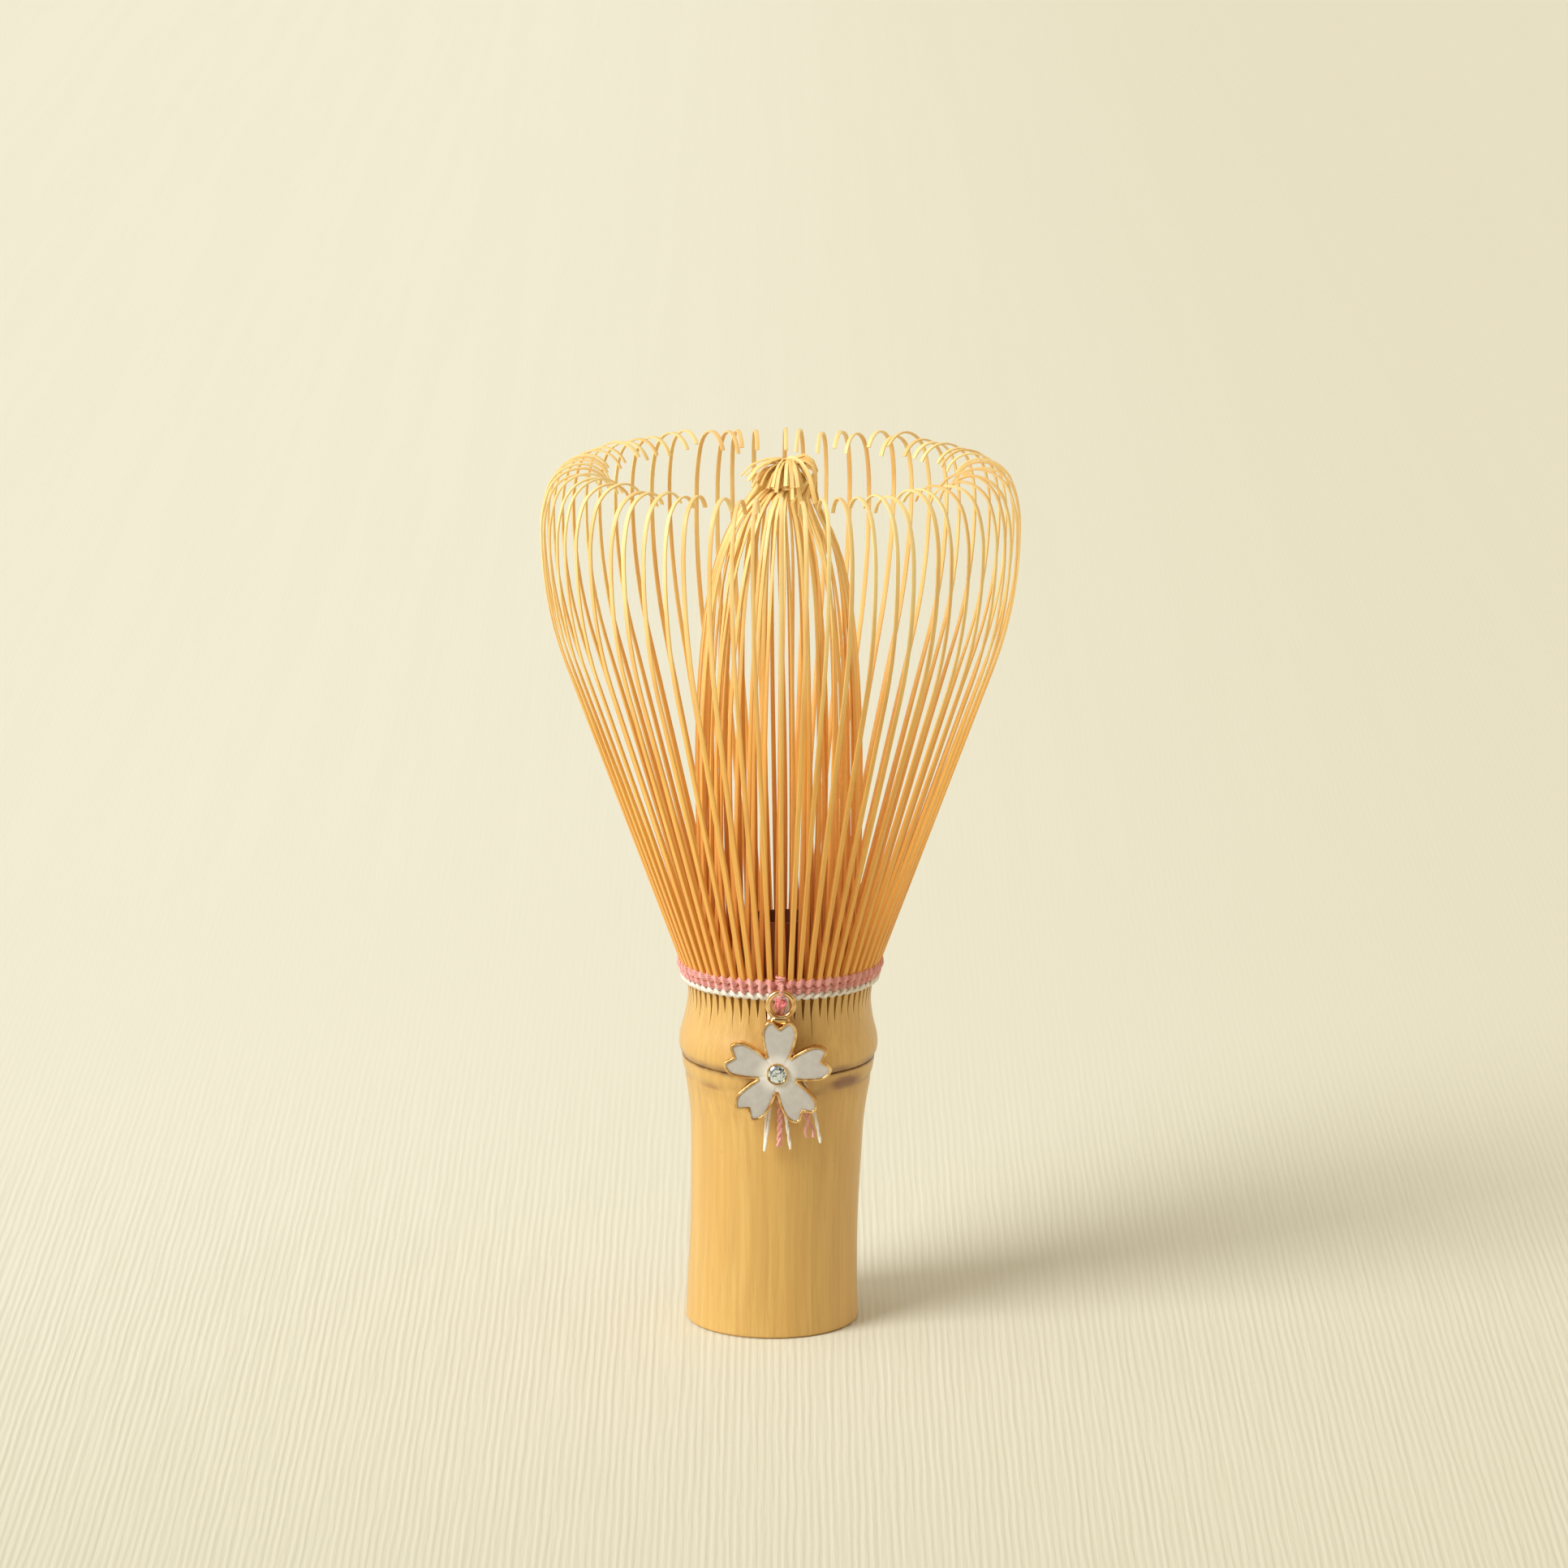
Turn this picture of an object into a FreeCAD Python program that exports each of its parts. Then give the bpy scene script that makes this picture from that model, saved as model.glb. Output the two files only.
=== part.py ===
import FreeCAD, Part
import math
import os

# Bamboo tea whisk.  +Z up, millimetres and degrees.  The origin is the middle of the cut end that
# the whisk stands on, and -Y is the front, where the blossom charm hangs.

# The culm: one bamboo internode below the joint ring, and the neck above it.
CULM_LEAN = 1.33          # the culm leans this much to +X, as it grew
CROWN_X = 1.05            # so the crown's axis stands this far from the origin
BASE_R = 10.87
EDGE_BREAK = 0.3          # rounded edge of the cut end
BORE_R = 8.2              # open hollow in the cut end
BORE_LENGTH = 27.0
SEPTUM_TOP_Z = 34.0       # the wall inside the joint ring that closes the hollow
SEAM_Z = 34.3             # fine line round the joint ring
NECK_CAVITY_R = 8.3
NECK_CAVITY_TOP_R = 9.0

# The slit collar: the culm's rim, split into an outer and an inner ring of roots.
TINES = 64
TINE_PITCH = 360.0 / TINES
GROUPS = 16               # the culm is first split in 16, then each sixteenth into 4 + 4 tines
TINES_IN_GROUP = TINES // GROUPS
COLLAR_Z = 43.6           # bottom of the gap between the two rings
COLLAR_R = 11.58          # outer face there
OUTER_SLOPE = 20.3        # flare of the outer ring and of the tines above it
OUTER_ROOT_T = 0.75
ROOT_Z = 47.2             # where the tines leave the collar
HINGE_GAP = 0.1
INNER_STUB_TOP_Z = 46.2
INNER_STUB_R = 10.0
SLIT_TOP_W = 0.5
SLIT_TIP_Z = 41.4
INNER_SLIT_W = 0.3

# Outer tines: straight and flared, then bowed in, then curled over at the tip.
OUTER_W_ROOT = 0.70
OUTER_W_TIP = 0.46
OUTER_T = 0.22
TAPER_TOP_Z = 112.0       # both kinds of tine narrow evenly up to here, a little over their tips

# Inner tines: nearly upright, drawn together at the top, with tips that fold outwards.
INNER_ROOT_Z = 47.3
INNER_ROOT_R = 9.85
INNER_W_ROOT = 0.62
INNER_W_TIP = 0.36
INNER_T = 0.2
INNER_LEAN_STEP = 0.45    # each tine of a group leans in this much more than the last

# Thread courses woven round the collar: height, tube radius.
WHITE_COURSE = (44.45, 0.36)
PINK_COURSES = ((45.35, 0.42), (46.3, 0.42))
COURSE_PROUD = 0.27       # how far a course stands out of the roots it binds
COURSE_FIT = 0.01

# The charm: a cast blossom, flat, hanging in front of the joint ring.
CHARM_BACK_Y = -13.3
CHARM_TILT = 2.9          # hangs this far off plumb
EYE_X = 1.12
EYE_Z = 44.0
EYE_R = 1.55
EYE_WIRE_R = 0.3
EYE_TO_FLOWER = 8.75
PETALS = 5
PETAL_CORNER = (1.62, 2.38)
PETAL_SIDE = (2.16, 4.95)
PETAL_LOBE = (1.22, 7.02)
PETAL_NOTCH = 5.85
PLATE_T = 0.7
RIM_H = 1.25
RIM_W = 0.26
ENAMEL_T = 0.42
SETTING_R = 1.27
SETTING_H = 1.6
STONE_R = 1.08
STONE_TABLE_R = 0.62
STONE_CROWN_H = 0.35
STONE_GIRDLE_H = 0.12
STONE_SEAT_H = 1.18

# Thread loop that carries the charm, with its knot in the eye.
LOOP_WIRE_R = 0.24
LOOP_HALF_W = 0.62
LOOP_TOP_Z = 46.75
LOOP_BOTTOM_Z = 44.98
KNOT_R = 0.66
TIE_Z = 46.78
TIE_H = 0.3

# Loose thread tails.  Each falls from the band at its own X, then through points (x, z).
TAIL_Y = -12.78
WHITE_TAIL_R = 0.22
PINK_TAIL_R = 0.28
TAIL_FALL = ((-12.36, 44.35), (-12.7, 43.55), (TAIL_Y, 41.9))
WHITE_TAILS = {
    "white_thread_tail_1": (-0.3, ((-0.2, 38.6), (-0.22, 34.6), (-0.4, 29.9), (-0.92, 25.0))),
    "white_thread_tail_2": (1.6, ((1.45, 38.2), (1.42, 33.6), (1.68, 29.2), (2.31, 25.2))),
    "white_thread_tail_3": (3.4, ((4.2, 38.8), (4.95, 35.3), (5.62, 31.2), (6.0, 26.0))),
}
PINK_TAILS = {
    "pink_thread_tail_1": (0.65, ((0.55, 38.4), (0.75, 34.0), (1.08, 29.7), (0.9, 25.6))),
    "pink_thread_tail_2": (2.5, ((3.1, 38.6), (3.75, 34.4), (4.25, 30.4), (4.75, 26.7))),
}

X_AXIS = FreeCAD.Vector(1, 0, 0)
Y_AXIS = FreeCAD.Vector(0, 1, 0)
Z_AXIS = FreeCAD.Vector(0, 0, 1)
ORIGIN = FreeCAD.Vector(0, 0, 0)
CROWN = FreeCAD.Vector(CROWN_X, 0, 0)


def save(shape, name):
    """Write one node as a STEP file."""
    shape.exportStep(f"parts/{name}.step")


def rz(radius, height):
    """A point in the X-Z plane."""
    return FreeCAD.Vector(radius, 0, height)


def revolve(edges):
    """Turn a closed outline in the X-Z plane about the Z axis."""
    face = Part.Face(Part.Wire(edges))
    return face.revolve(ORIGIN, Z_AXIS, 360)


def polygon(points):
    """Straight edges round a closed list of points."""
    return [Part.LineSegment(a, b).toShape() for a, b in zip(points, points[1:] + points[:1])]


def spline(points):
    """One smooth edge through the points."""
    curve = Part.BSplineCurve()
    curve.interpolate(points)
    return curve.toShape()


def turned(shape, degrees, about=ORIGIN, axis=Z_AXIS):
    """A copy of the shape, turned."""
    copy = shape.copy()
    copy.rotate(about, axis, degrees)
    return copy


def root_surface_r(height):
    """Outer radius of the flared roots at a height in the collar."""
    return COLLAR_R + (height - COLLAR_Z) * math.tan(math.radians(OUTER_SLOPE))


# Threads ------------------------------------------------------------------------------------

def course(height, wire_r):
    """One thread course: a ring sunk into the roots, COURSE_PROUD outside them."""
    ring_r = root_surface_r(height) + COURSE_PROUD - wire_r
    centre = CROWN + Z_AXIS * height
    return Part.makeTorus(ring_r, wire_r, centre)


def tube(points, radius):
    """A round tube along straight runs joined by the largest tangent arcs they allow."""
    runs = [(b - a).Length for a, b in zip(points, points[1:])]
    edges = []
    start = points[0]
    for i in range(1, len(points) - 1):
        to_prev = (points[i - 1] - points[i]).normalize()
        to_next = (points[i + 1] - points[i]).normalize()
        setback = 0.45 * min(runs[i - 1], runs[i])
        half = math.pi / 2 - to_prev.getAngle(to_next) / 2
        arc_r = setback / math.tan(half)
        arc_in = points[i] + to_prev * setback
        arc_out = points[i] + to_next * setback
        middle = (to_prev + to_next).normalize() * (arc_r / math.cos(half) - arc_r)
        edges.append(Part.LineSegment(start, arc_in).toShape())
        edges.append(Part.Arc(arc_in, points[i] + middle, arc_out).toShape())
        start = arc_out
        print("tail bend radius %.1f mm" % arc_r)
    edges.append(Part.LineSegment(start, points[-1]).toShape())
    path = Part.Wire(edges)
    section = Part.Wire(Part.Circle(points[0], points[1] - points[0], radius).toShape())
    solid = path.makePipeShell([section], True, True)
    ideal = math.pi * radius ** 2 * path.Length
    print("tail volume over section times length %.3f" % (solid.Volume / ideal))
    return solid


def tail(top_x, points, radius):
    """A loose end: out of the band, over the joint ring, then down in front of the culm."""
    route = [FreeCAD.Vector(top_x, y, z) for y, z in TAIL_FALL]
    route += [FreeCAD.Vector(x, TAIL_Y, z) for x, z in points]
    return tube(route, radius)


def charm_loop(eye_y):
    """The loop through the eye, drawn up on its knot, in the plane X = EYE_X."""
    low = LOOP_BOTTOM_Z + LOOP_HALF_W
    high = LOOP_TOP_Z - LOOP_HALF_W
    front = eye_y - LOOP_HALF_W
    rear = eye_y + LOOP_HALF_W
    corner = [FreeCAD.Vector(EYE_X, y, z) for y, z in ((front, low), (front, high), (rear, high), (rear, low))]
    edges = [
        Part.LineSegment(corner[0], corner[1]).toShape(),
        Part.Arc(corner[1], FreeCAD.Vector(EYE_X, eye_y, LOOP_TOP_Z), corner[2]).toShape(),
        Part.LineSegment(corner[2], corner[3]).toShape(),
        Part.Arc(corner[3], FreeCAD.Vector(EYE_X, eye_y, LOOP_BOTTOM_Z), corner[0]).toShape(),
    ]
    path = Part.Wire(edges)
    section = Part.Wire(Part.Circle(corner[0], Z_AXIS, LOOP_WIRE_R).toShape())
    loop = path.makePipeShell([section], True, True)
    knot = Part.makeSphere(KNOT_R, FreeCAD.Vector(EYE_X, eye_y, EYE_Z + 0.1))
    return loop.fuse(knot).removeSplitter()


def loop_tie():
    """A wrap of thread round the foot of the front tine, where the loop is tied on."""
    root_r = root_surface_r(TIE_Z + TIE_H)
    half_w = OUTER_W_ROOT / 2 + 0.07
    wall = 0.14
    depth = OUTER_ROOT_T + 0.1
    outside = Part.makeBox(2 * (half_w + wall), depth + 2 * wall, TIE_H,
                           FreeCAD.Vector(CROWN_X - half_w - wall, -root_r - wall - 0.05, TIE_Z))
    inside = Part.makeBox(2 * half_w, depth, TIE_H,
                          FreeCAD.Vector(CROWN_X - half_w, -root_r - 0.05, TIE_Z))
    return outside.cut(inside)


# Bamboo -------------------------------------------------------------------------------------

def culm_blank():
    """The culm's outside: a joint ring with a gentle swelling under it and a bulge over it."""
    below = -1.0
    above = ROOT_Z + 1
    top_r = root_surface_r(above)
    lower = spline([rz(BASE_R, below), rz(BASE_R - 0.05, 1.5), rz(10.55, 12.7), rz(10.64, 19.1),
                    rz(10.92, 26.5), rz(11.32, 29.9), rz(12.0, 33.6), rz(12.05, SEAM_Z - 0.15)])
    upper = spline([rz(12.1, SEAM_Z + 0.15), rz(12.42, 35.5), rz(12.3, 37.0), rz(11.75, 39.1),
                    rz(11.4, 41.7), rz(COLLAR_R, COLLAR_Z)])
    seam = rz(11.85, SEAM_Z)
    edges = [
        Part.LineSegment(rz(0, below), rz(BASE_R, below)).toShape(),
        lower,
        Part.LineSegment(rz(12.05, SEAM_Z - 0.15), seam).toShape(),
        Part.LineSegment(seam, rz(12.1, SEAM_Z + 0.15)).toShape(),
        upper,
        Part.LineSegment(rz(COLLAR_R, COLLAR_Z), rz(top_r, above)).toShape(),
        Part.LineSegment(rz(top_r, above), rz(0, above)).toShape(),
        Part.LineSegment(rz(0, above), rz(0, below)).toShape(),
    ]
    blank = turned(revolve(edges), CULM_LEAN, ORIGIN, Y_AXIS)
    reach = 2 * BASE_R
    top_z = ROOT_Z - HINGE_GAP
    room = Part.makeBox(2 * reach, 2 * reach, top_z, FreeCAD.Vector(-reach, -reach, 0))
    return blank.common(room)


def collar_gap():
    """The ring-shaped gap between the outer and the inner roots, open at the top."""
    top = ROOT_Z + 1
    outer_low = COLLAR_R - OUTER_ROOT_T
    outer_high = root_surface_r(top) - OUTER_ROOT_T
    gap = revolve(polygon([rz(INNER_STUB_R, COLLAR_Z), rz(outer_low, COLLAR_Z),
                           rz(outer_high, top), rz(INNER_STUB_R, top)]))
    gap.translate(CROWN)
    return gap


def slit(inner_r, outer_r, tip_z, full_z, width):
    """A saw-cut prism along +X: a V from its tip up to full_z, then straight to the top."""
    half = width / 2
    top = ROOT_Z + 1
    outline = [(0, tip_z), (half, full_z), (half, top), (-half, top), (-half, full_z)]
    face = Part.Face(Part.Wire(polygon([FreeCAD.Vector(inner_r, y, z) for y, z in outline])))
    return face.extrude(X_AXIS * (outer_r - inner_r))


def make_handle():
    """The culm with its bore, its upper hollow and the slit collar."""
    handle = culm_blank()
    bore = Part.makeCylinder(BORE_R, BORE_LENGTH + 1, FreeCAD.Vector(0, 0, -1))
    bore_end = Part.makeCone(BORE_R, BORE_R - 3, 2.2, FreeCAD.Vector(0, 0, BORE_LENGTH))
    cavity = Part.makeCone(NECK_CAVITY_R, NECK_CAVITY_TOP_R, ROOT_Z - SEPTUM_TOP_Z,
                           CROWN + Z_AXIS * SEPTUM_TOP_Z)
    inner_top = Part.makeCylinder(INNER_STUB_R + 0.1, 2, CROWN + Z_AXIS * INNER_STUB_TOP_Z)
    handle = handle.cut([bore, bore_end, cavity, collar_gap(), inner_top])
    seats = [course(height, wire_r + COURSE_FIT) for height, wire_r in (WHITE_COURSE,) + PINK_COURSES]
    handle = handle.cut(seats)
    slits = []
    for number in range(TINES):
        angle = -90 + (number + 0.5) * TINE_PITCH
        tip_z = SLIT_TIP_Z + 0.5 * math.sin(1.9 * number)
        outer = slit(INNER_STUB_R + 0.4, 14, tip_z, COLLAR_Z + 0.6, SLIT_TOP_W)
        inner = slit(NECK_CAVITY_R - 1, INNER_STUB_R + 0.2, COLLAR_Z - 1.5, COLLAR_Z, INNER_SLIT_W)
        slits.append(turned(outer, angle))
        slits.append(turned(inner, angle + TINE_PITCH / 2))
    for piece in slits:
        piece.translate(CROWN)
    handle = handle.cut(slits)
    rim = [edge for edge in handle.Edges
           if abs(edge.BoundBox.ZMax) < 0.01 and edge.BoundBox.XMax > BORE_R + 1]
    return handle.makeChamfer(EDGE_BREAK, rim)


def band_outline(start, heading, root_t, steps, thickness):
    """The side view of a tine: its outer face follows the steps and its inner face runs beside it.

    heading is degrees outward from upright, and each step is (length, turn outward in degrees).
    """
    outer = []
    inner = []
    place = start
    for length, turn in steps:
        first = math.radians(heading)
        last = math.radians(heading + turn)
        spots = [place]
        for share in (0.5, 1.0):
            angle = first + (last - first) * share
            if turn:
                radius = length / (last - first)
                spots.append(place + rz(radius * (math.cos(first) - math.cos(angle)),
                                        radius * (math.sin(angle) - math.sin(first))))
            else:
                spots.append(place + rz(math.sin(first), math.cos(first)) * (length * share))
        depth = root_t if not outer else thickness
        depths = (depth, (depth + thickness) / 2, thickness)
        angles = (first, (first + last) / 2, last)
        facing = [spot - rz(math.cos(angle), -math.sin(angle)) * t
                  for spot, angle, t in zip(spots, angles, depths)]
        if turn:
            outer.append(Part.Arc(*spots).toShape())
            inner.append(Part.Arc(*facing).toShape())
        else:
            outer.append(Part.LineSegment(spots[0], spots[2]).toShape())
            inner.append(Part.LineSegment(facing[0], facing[2]).toShape())
        if len(outer) == 1:
            foot = facing[0]
        place = spots[2]
        heading += turn
    tip = Part.LineSegment(place, facing[2]).toShape()
    base = Part.LineSegment(foot, start).toShape()
    return Part.Face(Part.Wire(outer + [tip] + inner[::-1] + [base]))


def tine(start, heading, root_t, steps, thickness, width_root, width_tip, top_z):
    """One tine in the X-Z plane: its side view, narrowed from the root to the tip."""
    side = band_outline(start, heading, root_t, steps, thickness)
    slab = side.extrude(Y_AXIS * width_root)
    slab.translate(Y_AXIS * (-width_root / 2))
    low = start.z - 1
    taper = [FreeCAD.Vector(0, y, z) for y, z in ((-width_root / 2, low), (width_root / 2, low),
                                                 (width_tip / 2, top_z), (-width_tip / 2, top_z))]
    wedge = Part.Face(Part.Wire(polygon(taper))).extrude(X_AXIS * 40)
    cut = slab.common(wedge)
    foot = Part.makeBox(40, 2, 3, FreeCAD.Vector(0, -1, start.z - 3))
    return cut.cut(foot).Solids[0]


def outer_tine():
    """Flared and straight, bowed in by a long arc, then curled over in three tighter arcs."""
    steps = ((39.3, 0), (17.7, -20.3), (4.97, -19), (5.33, -71), (3.86, -67))
    start = rz(root_surface_r(ROOT_Z), ROOT_Z)
    return tine(start, OUTER_SLOPE, OUTER_ROOT_T, steps, OUTER_T, OUTER_W_ROOT, OUTER_W_TIP, TAPER_TOP_Z)


def inner_tine(layer):
    """Upright, drawn in at the top, with a tip that folds outwards over the layers outside it."""
    fold_r = 0.65 + 0.22 * layer
    rise = 0.3 + 0.2 * layer
    fold = (fold_r * math.radians(130), 130)
    steps = ((22.5, 0), (22.3, -11.8), (11.5, -22), (5.0, 24), (rise, 0), fold, (1.6, 0))
    start = rz(INNER_ROOT_R, INNER_ROOT_Z)
    lean = INNER_LEAN_STEP * layer
    return tine(start, 1.8 - lean, 0.5, steps, INNER_T, INNER_W_ROOT, INNER_W_TIP, TAPER_TOP_Z)


def tine_group(group, pattern, offset, jitter, sway):
    """Four neighbouring tines as one node of separate solids."""
    tines = []
    for place in range(TINES_IN_GROUP):
        number = group * TINES_IN_GROUP + place
        steps_out = place - (TINES_IN_GROUP - 1) / 2
        angle = -90 + group * 360 / GROUPS + (steps_out + offset) * TINE_PITCH
        model = pattern[place % len(pattern)]
        leaning = turned(model, sway * math.sin(2.3 * number), rz(root_surface_r(ROOT_Z), ROOT_Z), Y_AXIS)
        copy = turned(leaning, angle + jitter * math.sin(1.7 * number + 1))
        copy.translate(CROWN)
        tines.append(copy)
    return Part.makeCompound(tines)


# Charm --------------------------------------------------------------------------------------

def flower_wire():
    """Five notched petals, each side one arc from the corner to the lobe and a cut to the notch."""
    edges = []
    for petal in range(PETALS):
        side = {}
        for sign in (-1, 1):
            side[sign] = [FreeCAD.Vector(sign * x, z, 0) for x, z in (PETAL_CORNER, PETAL_SIDE, PETAL_LOBE)]
        notch = FreeCAD.Vector(0, PETAL_NOTCH, 0)
        outline = [
            Part.Arc(*side[-1]).toShape(),
            Part.LineSegment(side[-1][2], notch).toShape(),
            Part.LineSegment(notch, side[1][2]).toShape(),
            Part.Arc(*side[1][::-1]).toShape(),
        ]
        edges += [turned(edge, -72 * petal) for edge in outline]
        corner = turned(Part.Vertex(side[1][0]), -72 * petal).Point
        following = turned(Part.Vertex(side[-1][0]), -72 * (petal + 1)).Point
        edges.append(Part.LineSegment(corner, following).toShape())
    return Part.Wire(Part.__sortEdges__(edges))


def prism(wire, low, high):
    """A plate between two heights above the charm's back."""
    face = Part.Face(wire)
    face.translate(Z_AXIS * low)
    return face.extrude(Z_AXIS * (high - low))


def disc(radius, low, high, centre_y=0.0):
    """A round boss on the charm."""
    return Part.makeCylinder(radius, high - low, FreeCAD.Vector(0, centre_y, low))


def hang(shape):
    """Stand a charm piece up: its face to -Y, its eye at the loop, tilted as it hangs."""
    hung = turned(shape, 90, ORIGIN, X_AXIS)
    hung.translate(FreeCAD.Vector(EYE_X, CHARM_BACK_Y, EYE_Z - EYE_TO_FLOWER))
    return turned(hung, CHARM_TILT, FreeCAD.Vector(EYE_X, CHARM_BACK_Y, EYE_Z), Y_AXIS)


def charm_casting(field):
    """Back plate, raised rim, stone cup and hanging eye in one casting."""
    body = prism(flower_wire(), 0, RIM_H).cut(prism(field, PLATE_T, RIM_H + 1))
    cup = disc(SETTING_R, 0, SETTING_H).cut(disc(STONE_R, STONE_SEAT_H - 0.5, SETTING_H + 1))
    eye = Part.makeTorus(EYE_R, EYE_WIRE_R, FreeCAD.Vector(0, EYE_TO_FLOWER, RIM_H / 2 - 0.1))
    web_points = ((-1.3, 6.85), (-0.8, 7.45), (0.8, 7.45), (1.3, 6.85), (0.5, 6.7), (-0.5, 6.7))
    web = prism(Part.Wire(polygon([FreeCAD.Vector(x, y, 0) for x, y in web_points])), 0.15, 0.9)
    web = web.cut(disc(EYE_R - EYE_WIRE_R / 2, 0, RIM_H, EYE_TO_FLOWER))
    return body.fuse([cup, eye, web]).removeSplitter()


def enamel(field):
    """The pale enamel that fills the recess round the cup."""
    return prism(field, PLATE_T, PLATE_T + ENAMEL_T).cut(disc(SETTING_R, 0, RIM_H))


def ring_of_corners(radius, height, count=8):
    """A regular polygon wire."""
    points = [FreeCAD.Vector(radius * math.cos(2 * math.pi * k / count),
                             radius * math.sin(2 * math.pi * k / count), height) for k in range(count)]
    return Part.Wire(polygon(points))


def stone():
    """A cut stone: culet, girdle, crown and table."""
    girdle = STONE_SEAT_H
    rim_r = STONE_R - 0.03
    pavilion = Part.makeLoft([ring_of_corners(rim_r * 0.4, girdle - 0.4), ring_of_corners(rim_r, girdle)], True, True)
    belt = Part.makeLoft([ring_of_corners(rim_r, girdle), ring_of_corners(rim_r, girdle + STONE_GIRDLE_H)],
                         True, True)
    crown_low = girdle + STONE_GIRDLE_H
    crown = Part.makeLoft([ring_of_corners(rim_r, crown_low),
                           ring_of_corners(STONE_TABLE_R, crown_low + STONE_CROWN_H)], True, True)
    return pavilion.fuse([belt, crown]).removeSplitter()


def main():
    os.makedirs("parts", exist_ok=True)
    save(make_handle(), "handle")
    save(course(*WHITE_COURSE), "white_thread_band")
    save(Part.makeCompound([course(*size) for size in PINK_COURSES]), "pink_thread_band")

    outer = [outer_tine()]
    inner = [inner_tine(layer) for layer in (0, 2, 1, 3)]
    for group in range(GROUPS):
        save(tine_group(group, outer, 0.5, 0.35, 0.35), f"outer_tines_{group + 1:02d}")
        save(tine_group(group, inner, 0.0, 0.0, 0.0), f"inner_tines_{group + 1:02d}")

    for name, (top_x, points) in WHITE_TAILS.items():
        save(tail(top_x, points, WHITE_TAIL_R), name)
    for name, (top_x, points) in PINK_TAILS.items():
        save(tail(top_x, points, PINK_TAIL_R), name)
    save(loop_tie(), "loop_tie")
    save(charm_loop(CHARM_BACK_Y - RIM_H / 2 + 0.1), "charm_loop")

    field = Part.Face(flower_wire()).makeOffset2D(-RIM_W).OuterWire
    save(hang(charm_casting(field)), "charm_casting")
    save(hang(enamel(field)), "charm_enamel")
    save(hang(stone()), "charm_stone")


main()
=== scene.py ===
# %% [markdown]
# # A bamboo tea whisk with a thread band and a blossom charm
# The whisk is one piece of bamboo. A culm with its joint ring is the handle, and above the ring the
# wall is split into 64 outer tines that flare and curl and 64 inner tines that are drawn together.
# A white and a pink thread are woven round the split rim, and an enamelled blossom hangs from them.
# The lesson keeps the measured CAD model as its frame and gives each part its finished shape and
# surface around it. Everything below is in millimetres until it goes into a mesh.

# %% Load the frame
import math
import random
from contextlib import contextmanager

import bmesh
import bpy
from mathutils import Matrix, Vector, noise


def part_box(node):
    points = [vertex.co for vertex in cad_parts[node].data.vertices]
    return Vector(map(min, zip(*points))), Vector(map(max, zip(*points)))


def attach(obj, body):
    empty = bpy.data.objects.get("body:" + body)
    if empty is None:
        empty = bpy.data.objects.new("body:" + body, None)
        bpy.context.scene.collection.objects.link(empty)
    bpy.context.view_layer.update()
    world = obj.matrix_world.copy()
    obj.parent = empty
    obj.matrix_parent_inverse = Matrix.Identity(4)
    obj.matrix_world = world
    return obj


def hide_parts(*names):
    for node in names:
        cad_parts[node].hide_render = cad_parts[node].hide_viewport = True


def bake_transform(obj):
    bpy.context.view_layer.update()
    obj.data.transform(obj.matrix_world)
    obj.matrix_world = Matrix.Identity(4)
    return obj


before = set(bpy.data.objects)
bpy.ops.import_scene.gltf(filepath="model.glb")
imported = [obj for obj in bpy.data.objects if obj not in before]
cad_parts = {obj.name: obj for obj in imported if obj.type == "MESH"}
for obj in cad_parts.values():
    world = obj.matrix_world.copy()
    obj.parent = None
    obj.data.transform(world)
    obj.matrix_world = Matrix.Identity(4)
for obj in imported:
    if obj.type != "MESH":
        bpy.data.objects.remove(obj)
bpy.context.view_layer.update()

MM = 0.001

# %% [markdown]
# ## Driving dimensions
# A whisk is laid out from very few sizes: the axis of its crown, the flare of the split rim, and how
# many tines it is split into. They could be typed in again at each piece, but a value that is named
# once keeps the band, the roots and the tines together. The crown's axis and the height of each
# thread course are measured on the CAD nodes, because the loaded model is the one that counts.

# %% Driving dimensions
TINES = 64
GROUPS = 16
PER_GROUP = TINES // GROUPS
PITCH = 360 / TINES
COLLAR_Z = 43.6
COLLAR_R = 11.58
FLARE = 20.3              # degrees outward from upright


def box_mm(node):
    """A CAD node's lowest and highest corner in millimetres."""
    low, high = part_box(node)
    return Vector(low) / MM, Vector(high) / MM


band_low, band_high = box_mm("white_thread_band")
CROWN_X = (band_low.x + band_high.x) / 2
CROWN = Vector((CROWN_X, 0, 0))
LEAN = math.atan(CROWN_X / 45.2)      # the culm leans so that its axis meets the crown's


def root_surface_r(z):
    """Outer radius of the flared roots at a height."""
    return COLLAR_R + (z - COLLAR_Z) * math.tan(math.radians(FLARE))


def around(angle, radius, z):
    """A point about the crown's axis; angle in degrees, -90 is the front."""
    turn = math.radians(angle)
    return CROWN + Vector((radius * math.cos(turn), radius * math.sin(turn), z))


print("crown axis at x", round(CROWN_X, 2), "lean", round(math.degrees(LEAN), 2))

# %% [markdown]
# ## Helpers for edit mode
# An operator acts on everything that is selected, and the CAD nodes are still selected after they are
# loaded. So each step first selects one object alone. Edit mode is opened and closed by one helper, and
# faces, edges and corners are picked by a rule on their place, as a hand with a mouse would pick them.

# %% Selecting and editing
def only(piece):
    """Deselect everything and make this object the selected, active one."""
    bpy.ops.object.select_all(action="DESELECT")
    if piece is not None:
        piece.select_set(True)
        bpy.context.view_layer.objects.active = piece
    return piece


@contextmanager
def editing(piece):
    """Edit mode on one object; gives its bmesh."""
    only(piece)
    bpy.ops.object.mode_set(mode="EDIT")
    yield bmesh.from_edit_mesh(piece.data)
    bpy.ops.object.mode_set(mode="OBJECT")


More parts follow.
